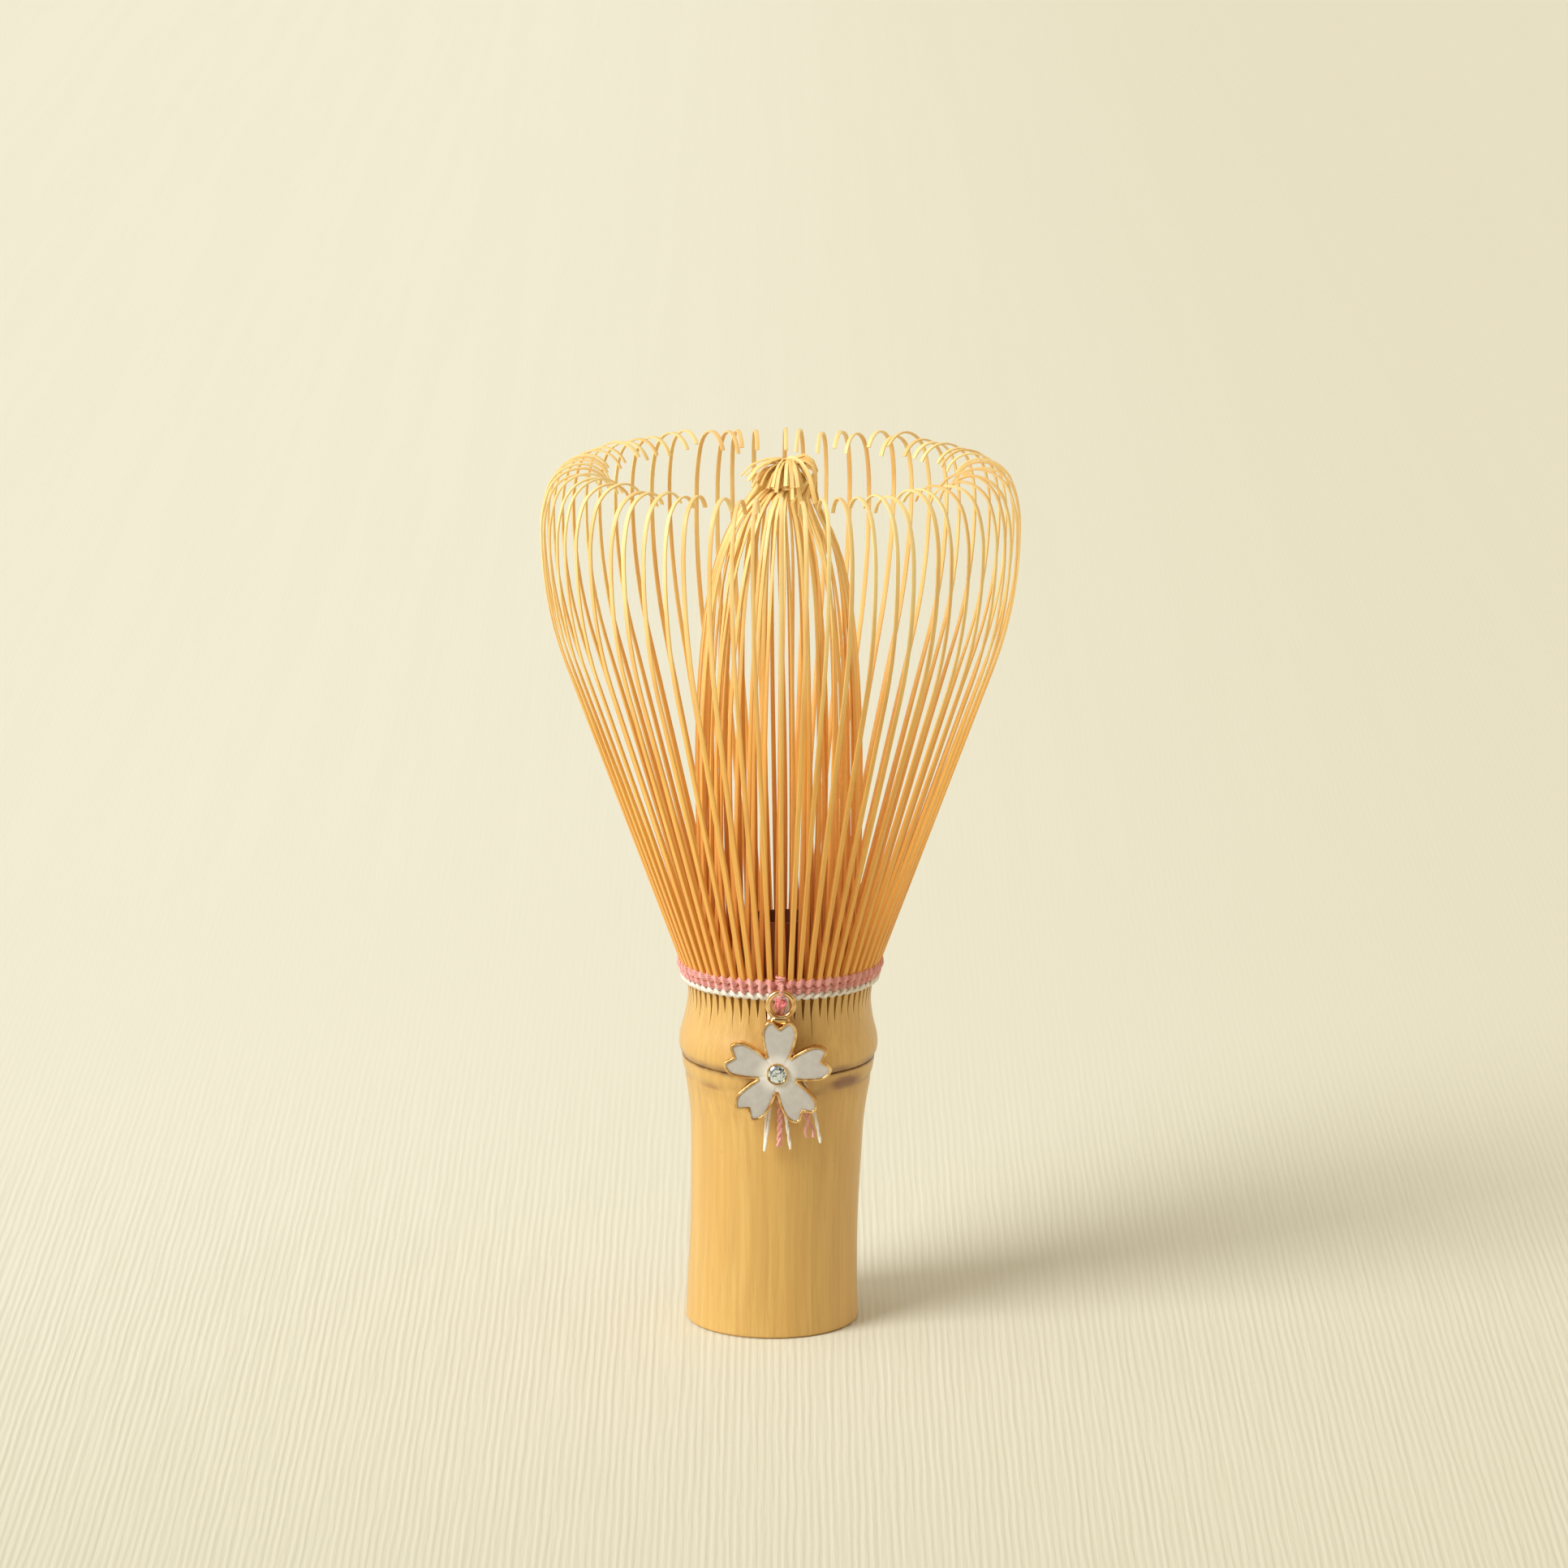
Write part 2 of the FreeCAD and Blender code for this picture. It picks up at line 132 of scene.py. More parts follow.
def pick(shape, kind, rule):
    """Select the faces, edges or verts that the rule accepts, and nothing else."""
    bpy.ops.mesh.select_mode(type={"faces": "FACE", "edges": "EDGE", "verts": "VERT"}[kind])
    bpy.ops.mesh.select_all(action="DESELECT")
    chosen = [part for part in getattr(shape, kind) if rule(part)]
    for part in chosen:
        part.select_set(True)
    shape.select_flush_mode()
    return len(chosen)


def started(name):
    """Name the primitive that was just added."""
    piece = bpy.context.active_object
    piece.name = name
    piece.data.name = name
    return piece


def extrude(x=0.0, y=0.0, z=0.0):
    """Extrude the selection and move it, in millimetres."""
    bpy.ops.mesh.extrude_region_move(TRANSFORM_OT_translate={"value": (x * MM, y * MM, z * MM)})


def outward(piece):
    """Merge doubles and turn every face outwards."""
    with editing(piece):
        bpy.ops.mesh.select_all(action="SELECT")
        bpy.ops.mesh.remove_doubles(threshold=0.0005 * MM)
        bpy.ops.mesh.normals_make_consistent(inside=False)


def smooth(piece, angle=40):
    """Smooth shading that keeps the edges sharper than the angle."""
    only(piece)
    bpy.ops.object.shade_smooth_by_angle(angle=math.radians(angle))


def joined(name, parts):
    """Join parts into one object."""
    bpy.ops.object.select_all(action="DESELECT")
    for part in parts:
        part.select_set(True)
    bpy.context.view_layer.objects.active = parts[0]
    if len(parts) > 1:
        bpy.ops.object.join()
    return started(name)


def report(piece):
    """Say what a piece came to."""
    faces = sum(len(face.vertices) - 2 for face in piece.data.polygons)
    print(f"{piece.name}: {len(piece.data.vertices)} corners, {faces} triangles")


# %% [markdown]
# ## Camera, floor and light
# The whisk stands on pale ribbed paper, seen from slightly above with a long lens. A large soft light
# stands high at the front left, so the culm is bright on its left, amber on its right, and its shadow
# runs to the back right. A curved backdrop would hide the whisk from behind, so the paper is one flat
# sheet, large enough to fill the view. The ribs are a bump in its material, with painted shade in their
# grooves, and they fade with distance. Painted shade also darkens the paper toward the right and the front.

# %% Camera
CAMERA_PLACE = (0.0015, -0.896, 0.269)
CAMERA_DOWN = 12.6
bpy.ops.object.camera_add(location=CAMERA_PLACE, rotation=(math.radians(90 - CAMERA_DOWN), 0, 0))
camera = bpy.context.active_object
camera.name = "camera"
camera.data.lens = 169.44
camera.data.sensor_width = 36
bpy.context.scene.camera = camera
bpy.context.scene.view_settings.view_transform = "Standard"

# %% Light
KEY_TURN = 54             # degrees round to the left from straight behind the camera
KEY_HIGH = 38             # degrees above the floor
KEY_SOFT = 30             # how wide the light looks from the whisk, in degrees
KEY_STRENGTH = 2.4
bpy.ops.object.light_add(type="SUN", location=(-0.6, -0.6, 0.7))
key = bpy.context.active_object
key.name = "key_light"
key.data.angle = math.radians(KEY_SOFT)
key.data.energy = KEY_STRENGTH
key.data.color = (1.0, 0.995, 0.97)
key.rotation_euler = (math.radians(90 - KEY_HIGH), 0, math.radians(-KEY_TURN))



def studio_sky():
    """Even warm light, a bright wall on the left, a warm one on the right, and a dark patch in front."""
    world = bpy.data.worlds.new("studio")
    bpy.context.scene.world = world
    world.use_nodes = True
    tree = world.node_tree
    way = tree.nodes.new("ShaderNodeSeparateXYZ")
    tree.links.new(tree.nodes.new("ShaderNodeTexCoord").outputs["Generated"], way.inputs[0])

    def facing(axis, start, end):
        node = tree.nodes.new("ShaderNodeMapRange")
        node.interpolation_type = "SMOOTHSTEP"
        tree.links.new(way.outputs[axis], node.inputs[0])
        node.inputs[1].default_value, node.inputs[2].default_value = start, end
        return node.outputs[0]

    def tinted(amount, under, over):
        node = tree.nodes.new("ShaderNodeMix")
        node.data_type = "RGBA"
        tree.links.new(amount, node.inputs[0])
        for number, colour in ((6, under), (7, over)):
            if isinstance(colour, tuple):
                node.inputs[number].default_value = (*colour, 1)
            else:
                tree.links.new(colour, node.inputs[number])
        return node.outputs[2]

    both = tree.nodes.new("ShaderNodeMath")
    both.operation = "MULTIPLY"
    tree.links.new(facing("Y", -0.35, -0.85), both.inputs[0])
    tree.links.new(facing("Z", 0.62, 0.3), both.inputs[1])
    walls = tinted(facing("X", -0.6, -0.9), (1.0, 0.93, 0.8), (2.5, 2.3, 1.95))
    walls = tinted(facing("X", 0.45, 0.9), walls, (1.75, 1.42, 0.95))
    tree.links.new(tinted(both.outputs[0], walls, (0.2, 0.17, 0.14)), tree.nodes["Background"].inputs["Color"])
    tree.nodes["Background"].inputs["Strength"].default_value = 0.565


studio_sky()
print("key light", KEY_HIGH, "degrees up,", KEY_TURN, "degrees to the left")


# %% [markdown]
# ## A small workbench for materials
# Every surface here is procedural: noise and gradients in millimetres, mixed into colour, roughness and
# bump. The nodes could be wired one by one, but the same four moves come back each time: a stretched
# grain, a range, a mix of two colours, and a bump. So they are short methods of one helper class.

# %% Material workbench
class Finish:
    """A material being made: nodes are added and wired with short calls."""

    def __init__(self, name, space="Object"):
        self.material = bpy.data.materials.new(name)
        self.material.use_nodes = True
        self.tree = self.material.node_tree
        self.shader = self.tree.nodes["Principled BSDF"]
        self.place = self.add("ShaderNodeTexCoord").outputs[space]

    def put(self, socket, value):
        """Wire an output into a socket, or set the socket's own value."""
        if isinstance(value, bpy.types.NodeSocket):
            self.tree.links.new(value, socket)
        elif isinstance(value, (tuple, list)) and len(value) == 3 and socket.type == "RGBA":
            socket.default_value = (*value, 1)
        else:
            socket.default_value = value

    def add(self, kind, settings=None, inputs=None):
        """Add a node with its settings and its inputs, which are named or numbered."""
        made = self.tree.nodes.new(kind)
        for key, value in (settings or {}).items():
            setattr(made, key, value)
        for key, value in (inputs or {}).items():
            self.put(made.inputs[key], value)
        return made

    def stretched(self, scale, turn=(0, 0, 0)):
        """The coordinates, scaled per axis."""
        radians = tuple(math.radians(value) for value in turn)
        return self.add("ShaderNodeMapping", None,
                        {"Vector": self.place, "Scale": scale, "Rotation": radians}).outputs[0]

    def grain(self, scale, detail=3.0, rough=0.55, turn=(0, 0, 0)):
        """Noise with its own scale along each axis, per coordinate unit."""
        return self.add("ShaderNodeTexNoise", None,
                        {"Vector": self.stretched(scale, turn), "Scale": 1.0, "Detail": detail,
                         "Roughness": rough}).outputs[0]

    def math(self, work, a, b=0.0, c=0.0):
        """One sum."""
        return self.add("ShaderNodeMath", {"operation": work}, {0: a, 1: b, 2: c}).outputs[0]

    def span(self, value, low, high, to_low=0.0, to_high=1.0):
        """Map a range onto another and clamp it, with soft ends."""
        return self.add("ShaderNodeMapRange", {"interpolation_type": "SMOOTHSTEP"},
                        {0: value, 1: low, 2: high, 3: to_low, 4: to_high}).outputs[0]

    def mix(self, share, a, b):
        """A mix of two colours."""
        return self.add("ShaderNodeMix", {"data_type": "RGBA"}, {0: share, 6: a, 7: b}).outputs[2]

    def axes(self):
        """The three coordinates apart."""
        return self.add("ShaderNodeSeparateXYZ", None, {0: self.place}).outputs

    def attribute(self, name):
        """A number painted on the corners."""
        return self.add("ShaderNodeAttribute", {"attribute_name": name}).outputs["Fac"]

    def bump(self, height, depth_mm, strength=1.0, over=None):
        """A bump of so many millimetres."""
        made = self.add("ShaderNodeBump", None,
                        {"Height": height, "Distance": depth_mm * MM, "Strength": strength})
        if over is not None:
            self.put(made.inputs["Normal"], over)
        return made.outputs[0]

    def done(self, **sockets):
        """Set the Principled shader's sockets and give the material."""
        for key, value in sockets.items():
            self.put(self.shader.inputs[key.replace("_", " ")], value)
        return self.material


def srgb(red, green, blue):
    """A display colour of 0..255 as the linear colour that a shader takes."""
    def one(value):
        value /= 255
        return value / 12.92 if value <= 0.04045 else ((value + 0.055) / 1.055) ** 2.4
    return (one(red), one(green), one(blue))


def finish_with(piece, *materials):
    """Give a piece its materials."""
    piece.data.materials.clear()
    for material in materials:
        piece.data.materials.append(material)


# %% Floor
def paper():
    """Cream paper with fine uneven ribs that run away from the front and fade far off, painted shade in the
    grooves between the ribs, and painted shade that darkens it toward the right and the front.
    """
    made = Finish("ribbed_paper")
    x, y, _ = made.axes()
    wander = made.math("MULTIPLY", made.grain((240, 42, 1), 3.0, 0.6), 6.0)
    wave = made.math("SINE", made.math("ADD", made.math("MULTIPLY", x, 2 * math.pi / RIB_PITCH), wander))
    threads = made.grain((1500, 26, 1), 2.0, 0.5)
    height = made.math("ADD", made.math("MULTIPLY", wave, 0.2), threads)
    near = made.span(y, -0.02, 0.16, 1.0, 0.12)
    # painted shade: the grooves between the ribs are darker and the crests lighter
    tone = made.mix(made.math("MULTIPLY", made.span(height, 0.3, 0.75), near),
                    srgb(231, 231, 216), srgb(240, 240, 228))
    streaks = made.math("MULTIPLY", made.grain((150, 2.5, 1), 3.0, 0.6), made.span(y, 0.05, 0.3))
    tone = made.mix(made.span(streaks, 0.42, 0.62, 0.0, 0.1), tone, srgb(242, 243, 230))
    # painted shade: the paper darkens toward the right and toward the front, as the light falls off
    tone = made.mix(made.span(x, -0.1, 0.16, 0.0, 0.6), tone, srgb(216, 211, 188))
    tone = made.mix(made.span(y, 0.16, -0.22, 0.0, 0.75), tone, srgb(212, 208, 186))
    return made.done(Base_Color=tone, Roughness=0.85, Specular_IOR_Level=0.2,
                     Normal=made.bump(made.math("MULTIPLY", height, near), 0.22, 0.4))


RIB_PITCH = 0.00092
FLOOR_R = 2.6
bpy.ops.mesh.primitive_circle_add(vertices=96, radius=FLOOR_R, fill_type="NGON", location=(0, 0, 0))
floor = started("floor")
finish_with(floor, paper())
print("floor radius", FLOOR_R, "m")

# %% [markdown]
# ## Bamboo
# Three bamboo surfaces show. The culm keeps its skin: golden, faintly streaked lengthwise, with brown
# marks where the leaf sheath grew at the joint, and painted shade in the joint's creases. The tines are
# shaved, so their fibres show as fine lines, amber at the root and pale at the thin tip. The bore is dull
# pith. The culm reads object coordinates, because its fibres run along Z. A tine bends, so it reads its
# own UV map, laid out in millimetres: across in U, along in V.

# %% Bamboo materials
def bamboo_skin():
    """Golden skin: streaks, blotches, a dark seam with painted shade above it, and a painted scar with painted
    shade in the joint's creases.
    """
    made = Finish("golden_skin")
    fibres = made.grain((5200, 5200, 55), 4.0, 0.62)
    streaks = made.grain((1500, 1500, 22), 3.0, 0.5)
    clouds = made.grain((190, 190, 70), 2.0, 0.5)
    flecks = made.grain((1300, 1300, 500), 2.0, 0.5)
    tone = made.mix(made.span(streaks, 0.3, 0.72), srgb(210, 165, 84), srgb(223, 181, 99))
    tone = made.mix(made.span(clouds, 0.45, 0.75, 0.0, 0.5), tone, srgb(216, 168, 86))
    tone = made.mix(made.span(fibres, 0.48, 0.76, 0.0, 0.34), tone, srgb(178, 128, 60))
    tone = made.mix(made.span(flecks, 0.7, 0.78, 0.0, 0.4), tone, srgb(196, 122, 52))
    # the scar attribute holds brown marks and painted shade in the joint's creases; the seam attribute holds the
    # dark line and painted shade above it
    tone = made.mix(made.attribute("scar_and_shade"), tone, srgb(124, 68, 28))
    tone = made.mix(made.attribute("seam"), tone, srgb(92, 54, 26))
    rough = made.span(streaks, 0.3, 0.7, 0.36, 0.5)
    relief = made.math("ADD", fibres, made.math("MULTIPLY", streaks, 1.5))
    return made.done(Base_Color=tone, Roughness=rough, Specular_IOR_Level=0.6,
                     Coat_Weight=0.7, Coat_Roughness=0.42,
                     Normal=made.bump(relief, 0.035, 0.6))


def bamboo_pith():
    """The pale, dull inside wall."""
    made = Finish("dull_pith")
    fibres = made.grain((3000, 3000, 70), 4.0, 0.6)
    spots = made.grain((800, 800, 800), 3.0, 0.5)
    tone = made.mix(made.span(fibres, 0.35, 0.7), srgb(196, 150, 90), srgb(226, 192, 138))
    tone = made.mix(made.span(spots, 0.55, 0.75, 0.0, 0.4), tone, srgb(170, 122, 68))
    return made.done(Base_Color=tone, Roughness=0.75, Normal=made.bump(fibres, 0.08, 0.6))


def shaved(name, root, middle, tip, shade, turns):
    """A shaved tine: fibre lines along V, amber root, pale tip, and where along it the tone turns."""
    made = Finish(name, "UV")
    _, along, _ = made.axes()
    fibres = made.grain((9.0, 0.11, 1), 3.0, 0.6)
    drift = made.grain((0.35, 0.06, 1), 2.0, 0.5)
    body = made.mix(made.span(along, 2, turns[0]), root, middle)
    body = made.mix(made.span(along, turns[0], turns[1]), body, tip)
    body = made.mix(made.span(drift, 0.35, 0.68, 0.0, 0.55), body, shade)
    body = made.mix(made.span(fibres, 0.5, 0.74, 0.0, 0.4), body, srgb(176, 112, 44))
    return made.done(Base_Color=body, Roughness=made.span(fibres, 0.3, 0.7, 0.34, 0.52),
                     Subsurface_Weight=0.0, Normal=made.bump(fibres, 0.03, 0.6))


skin = bamboo_skin()
pith = bamboo_pith()
outer_wood = shaved("outer_shavings", srgb(240, 178, 84), srgb(248, 196, 102), srgb(255, 231, 162),
                    srgb(238, 172, 84), (30, 64))
inner_wood = shaved("inner_shavings", srgb(222, 142, 58), srgb(250, 190, 96), srgb(255, 228, 152),
                    srgb(240, 178, 92), (26, 56))
print("bamboo materials:", skin.name, pith.name, outer_wood.name, inner_wood.name)

# %% [markdown]
# ## The culm
# The handle is a length of culm: cut straight at the base, slightly waisted, with a joint ring that
# has a dark seam, a bulge over it and a faint ridge under it. Inside is an open bore up to the wall of
# the joint, and above that the upper hollow. It could be a spun outline, but growing it ring by ring
# from a circle lets each ring sit on the leaning axis. Then the wall is made uneven, as it grew.

# %% Grow the culm ring by ring
CULM_SIDES = 192
SEAM_Z = 34.3
OUTLINE = ((0.3, 10.87), (1.5, 10.82), (12.7, 10.55), (19.1, 10.64), (26.5, 10.92), (29.9, 11.38),
           (31.3, 11.6), (32.0, 11.62), (32.5, 11.84), (33.6, 12.02), (34.15, 12.05), (34.3, 11.82),
           (34.45, 12.1), (35.5, 12.42), (37.0, 12.3), (39.1, 11.75), (41.7, 11.4), (43.6, 11.58))


def outline_r(z):
    """The culm's outer radius at a height: a smooth line through the outline's points."""
    if z >= COLLAR_Z:
        return root_surface_r(z)
    place = max(i for i in range(len(OUTLINE) - 1) if OUTLINE[i][0] <= z)
    (z1, r1), (z2, r2) = OUTLINE[place], OUTLINE[place + 1]
    z0, r0 = OUTLINE[max(place - 1, 0)]
    z3, r3 = OUTLINE[min(place + 2, len(OUTLINE) - 1)]
    share = (z - z1) / (z2 - z1)
    near_seam = z2 - z1 < 0.2
    slope1 = 0 if near_seam else (r2 - r0) / max(z2 - z0, 0.01) * (z2 - z1)
    slope2 = 0 if near_seam else (r3 - r1) / max(z3 - z1, 0.01) * (z2 - z1)
    a = 2 * share ** 3 - 3 * share ** 2 + 1
    b = share ** 3 - 2 * share ** 2 + share
    c = -2 * share ** 3 + 3 * share ** 2
    d = share ** 3 - share ** 2
    return a * r1 + b * slope1 + c * r2 + d * slope2


def axis_x(z):
    """Where the leaning axis is at a height; the collar stands upright."""
    return min(z * math.tan(LEAN), CROWN_X) if z < COLLAR_Z else CROWN_X


bore_rings = [(5.2, 29.2), (8.2, 27.0), (8.2, 14.0), (8.2, 0.25), (8.45, 0.0), (10.57, 0.0)]
wall_heights = [0.12, 0.3, 0.8, 1.5, 3, 5, 7.5, 10, 12.7, 16, 19.1, 22, 24.5, 26.5, 28, 29, 29.9, 30.5, 31,
                31.4, 31.8, 32.2, 32.6, 33, 33.4, 33.8, 34.0, 34.15, 34.22, 34.3, 34.38, 34.45, 34.6, 34.9,
                35.2, 35.5, 36, 36.5, 37, 37.7, 38.4, 39.1, 39.9, 40.7, 41.4, 42, 42.6, 43.1, 43.6, 44.4, 45.6]
wall_rings = [(outline_r(max(z, 0.3)) - (0.14 if z < 0.2 else 0), z) for z in wall_heights]
collar_rings = [(11.55, 45.6), (10.83, 43.6), (10.0, 43.6), (10.0, 46.0), (9.0, 46.0), (8.35, 35.0),
                (8.0, 34.5), (5.0, 34.4)]


def ring_chain(name, rings, sides):
    """A closed shell from a chain of rings (radius, height), each on the leaning axis."""
    radius, z = rings[0]
    bpy.ops.mesh.primitive_circle_add(vertices=sides, radius=radius * MM, location=(axis_x(z) * MM, 0, z * MM))
    piece = started(name)
    only(piece)
    bpy.ops.object.transform_apply(location=True)
    with editing(piece):
        bpy.ops.mesh.select_all(action="SELECT")
        for next_radius, next_z in rings[1:]:
            extrude(axis_x(next_z) - axis_x(z), 0, next_z - z)
            grow = next_radius / radius
            bpy.ops.transform.resize(value=(grow, grow, 1),
                                     center_override=(axis_x(next_z) * MM, 0, next_z * MM))
            radius, z = next_radius, next_z
        extrude()
        bpy.ops.mesh.merge(type="CENTER")
        bpy.ops.mesh.select_all(action="DESELECT")
        bpy.ops.mesh.select_mode(type="EDGE")
        bpy.ops.mesh.select_non_manifold()
        extrude()
        bpy.ops.mesh.merge(type="CENTER")
    outward(piece)
    return piece


culm = ring_chain("bamboo_handle", bore_rings + wall_rings + collar_rings, CULM_SIDES)
report(culm)


# %% Make the wall uneven
def seam_wave(turn):
    """How far the seam wanders up and down round the culm."""
    return 0.2 * math.sin(turn + 0.6) + 0.12 * math.sin(2 * turn + 2.0) + 0.06 * math.sin(5 * turn)


def grown(point):
    """A corner of the even culm, in mm, moved to where the bamboo grew it."""
    x, y, z = point
    arm = Vector((x - axis_x(z), y))
    turn = math.atan2(arm.y, arm.x)
    free = max(0.0, min(1.0, z / 3, (COLLAR_Z - z) / 3))
    swell = noise.noise(Vector((1.3 * math.cos(turn), 1.3 * math.sin(turn), z * 0.06))) * 0.16
    swell += noise.noise(Vector((6 * math.cos(turn), 6 * math.sin(turn), z * 0.05 + 9))) * 0.035
    scale = 1 + free * swell / max(arm.length, 1)
    lift = seam_wave(turn) * math.exp(-((z - SEAM_Z) / 2.2) ** 2)
    lift -= math.tan(LEAN) * arm.x * free
    return Vector((axis_x(z) + arm.x * scale, y * scale, z + lift))


for corner in culm.data.vertices:
    corner.co = grown(corner.co / MM) * MM

# %% [markdown]
# ## Slits in the rim
# Each gap between two outer tines starts as a saw cut that closes to a point below the band, and some
# run on as a hairline crack. Moving corners could only make shallow grooves, so the cuts are real: one
# wedge is made from a cube, copied to all 64 gaps with its own depth, and taken out of the wall.

# %% Cut the slits
rng = random.Random(64)


def wedge():
    """A cutter in the plane X = 0, with its V at z 0 and its full width from z 1 up to z 2."""
    bpy.ops.mesh.primitive_cube_add(size=1, location=(0, 0, 1.5))
    piece = started("slit_cutter")
    only(piece)
    bpy.ops.object.transform_apply(location=True)
    with editing(piece) as shape:
        pick(shape, "faces", lambda face: face.normal.z < -0.5)
        bpy.ops.mesh.extrude_region_move(TRANSFORM_OT_translate={"value": (0, 0, -1)})
        bpy.ops.transform.resize(value=(0.06, 1, 1), center_override=(0, 0, 0))
    outward(piece)
    return piece


def cut_at(pattern, angle, width, tip_z, full_z, top_z, inner_r, outer_r, skew=0.0):
    """One copy of the cutter, sized and turned to its gap."""
    piece = pattern.copy()
    piece.data = pattern.data.copy()
    bpy.context.collection.objects.link(piece)
    for corner in piece.data.vertices:
        x, y, z = corner.co
        radius = inner_r if y > 0 else outer_r
        height = tip_z if z < 0.5 else full_z if z < 1.5 else top_z
        aside = x * width + (skew if z < 0.5 else 0)
        turned = Matrix.Rotation(math.radians(angle + 90), 4, "Z") @ Vector((aside, -radius, 0))
        corner.co = (CROWN + turned + Vector((0, 0, height))) * MM
    return piece


pattern = wedge()
cutters = []
for number in range(TINES):
    gap = -90 + (number + 0.5) * PITCH
    tip = 41.25 + 0.35 * math.sin(1.9 * number) + rng.uniform(-0.3, 0.25)
    cutters.append(cut_at(pattern, gap, 0.6, tip, 44.2, 46.4, 10.45, 14, rng.uniform(-0.08, 0.08)))
    if number % 5 in (0, 3):
        tip -= rng.uniform(0.9, 2.6)
        cutters.append(cut_at(pattern, gap, 0.085, tip, tip + 1, 43.0, 11.0, 14, rng.uniform(-0.12, 0.12)))
bpy.data.objects.remove(pattern)
cutter = joined("slit_cutters", cutters)
only(culm)
cut = culm.modifiers.new("slits", "BOOLEAN")
cut.object = cutter
cut.solver = "EXACT"
cut.use_self = True
bpy.ops.object.modifier_apply(modifier=cut.name)
bpy.data.objects.remove(cutter)
print("slits cut:", len(cutters))


# %% Paint the joint's marks and its shade, and finish the culm
def seam_line_and_shade(turn, off):
    """How dark the seam is, by how far a point is above or below it: a fine dark line, in a soft edge of painted
    shade above it.
    """
    width = 0.3 + 0.1 * math.sin(3 * turn + 1)
    ragged = 0.5 + 1.3 * abs(noise.noise(Vector((9 * math.cos(turn), 9 * math.sin(turn), 3))))
    line = min(0.85, ragged) * math.exp(-(off / width) ** 2)
    # painted shade: a patchy soft edge just above the line
    patchy = 0.5 + noise.noise(Vector((6 * math.cos(turn), 6 * math.sin(turn), 8)))
    return max(line, 0.45 * max(0, patchy) * math.exp(-((off - 0.25) / 0.5) ** 2))


def scar_and_shade_mark(turn, off, z):
    """Brown marks under the seam, strongest at the front right, with painted shade in a fine crease under them,
    in a faint band below the crease, and in a halo above the seam.
    """
    blot = noise.noise(Vector((5 * math.cos(turn), 5 * math.sin(turn), z * 0.55)))
    right = math.exp(-((math.degrees(turn) + 46) / 12) ** 2)
    smudge = math.exp(-((off + 1.5) / 0.62) ** 2) * right * (1.5 + 1.5 * blot)
    # painted shade: the crease, a faint band under it, and a halo above the seam
    crease = 0.4 * math.exp(-((off + 2.25) / 0.25) ** 2) * (0.6 + 1.2 * blot)
    tint = 0.14 * math.exp(-((off + 2.7) / 1.3) ** 2) * (0.7 + 0.8 * blot)
    halo = noise.noise(Vector((4 * math.cos(turn), 4 * math.sin(turn), 21)))
    tint += max(0.0, 0.5 + 0.9 * halo) * math.exp(-((off - 0.4) / 0.45) ** 2)
    speckle = max(0.0, noise.noise(Vector((14 * math.cos(turn), 14 * math.sin(turn), z * 1.4))) - 0.42)
    over = math.exp(-((off - 0.5) / 0.8) ** 2) * speckle * 1.6
    return max(0.0, min(0.9, smudge + crease + tint + over))


# seam holds the dark line with painted shade above it; scar holds brown marks with painted shade in the joint's
# creases
seam = culm.data.attributes.new("seam", "FLOAT", "POINT")
scar_and_shade = culm.data.attributes.new("scar_and_shade", "FLOAT", "POINT")
for corner in culm.data.vertices:
    x, y, z = corner.co / MM
    arm_x = x - axis_x(z)
    turn = math.atan2(y, arm_x)
    off = z - SEAM_Z - seam_wave(turn) + math.tan(LEAN) * arm_x
    wall = math.hypot(arm_x, y) > 10.4
    burnt = 0.35 * max(0.0, 1 - z / 0.35) if wall else 0
    seam.data[corner.index].value = seam_line_and_shade(turn, off) if wall else 0
    scar_and_shade.data[corner.index].value = max(scar_and_shade_mark(turn, off, z), burnt) if wall else 0

finish_with(culm, skin, pith)
for face in culm.data.polygons:
    centre = face.center / MM
    radius = math.hypot(centre.x - axis_x(centre.z), centre.y)
    face.material_index = 1 if radius < 10.3 and centre.z < 43 else 0
smooth(culm, 32)
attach(culm, "handle_body")
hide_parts("handle")
report(culm)

# %% [markdown]
# ## One tine, bent 128 ways
# A tine is a slat: deep and square at the root, pared thin toward the tip. Carving each one would
# hide what they share, so a single straight slat is made once: a cube, extruded upward in short steps,
# with its long edges bevelled. Each tine is a copy of it, whose corners are carried onto the tine's
# own line. A line is a list of stations: a point on the outer face, the directions across and outward,
# and the width and depth there.

# %% The straight slat
STEPS = 32


def make_slat():
    """A unit slat: x across and y deep from -0.5 to 0.5, z from 0 at the root to STEPS at the tip."""
    bpy.ops.mesh.primitive_cube_add(size=1, location=(0, 0, 0.5))
    piece = started("slat")
    only(piece)
    bpy.ops.object.transform_apply(location=True)
    with editing(piece) as shape:
        pick(shape, "faces", lambda face: face.normal.z > 0.5)
        for _ in range(STEPS - 1):
            bpy.ops.mesh.extrude_region_move(TRANSFORM_OT_translate={"value": (0, 0, 1)})
        shape = bmesh.from_edit_mesh(piece.data)
        pick(shape, "edges", lambda edge: abs(edge.verts[0].co.z - edge.verts[1].co.z) > 0.5)
        bpy.ops.mesh.bevel(offset=0.13, segments=1)
    outward(piece)
    return piece


slat = make_slat()
slat_corners = [corner.co.copy() for corner in slat.data.vertices]
report(slat)


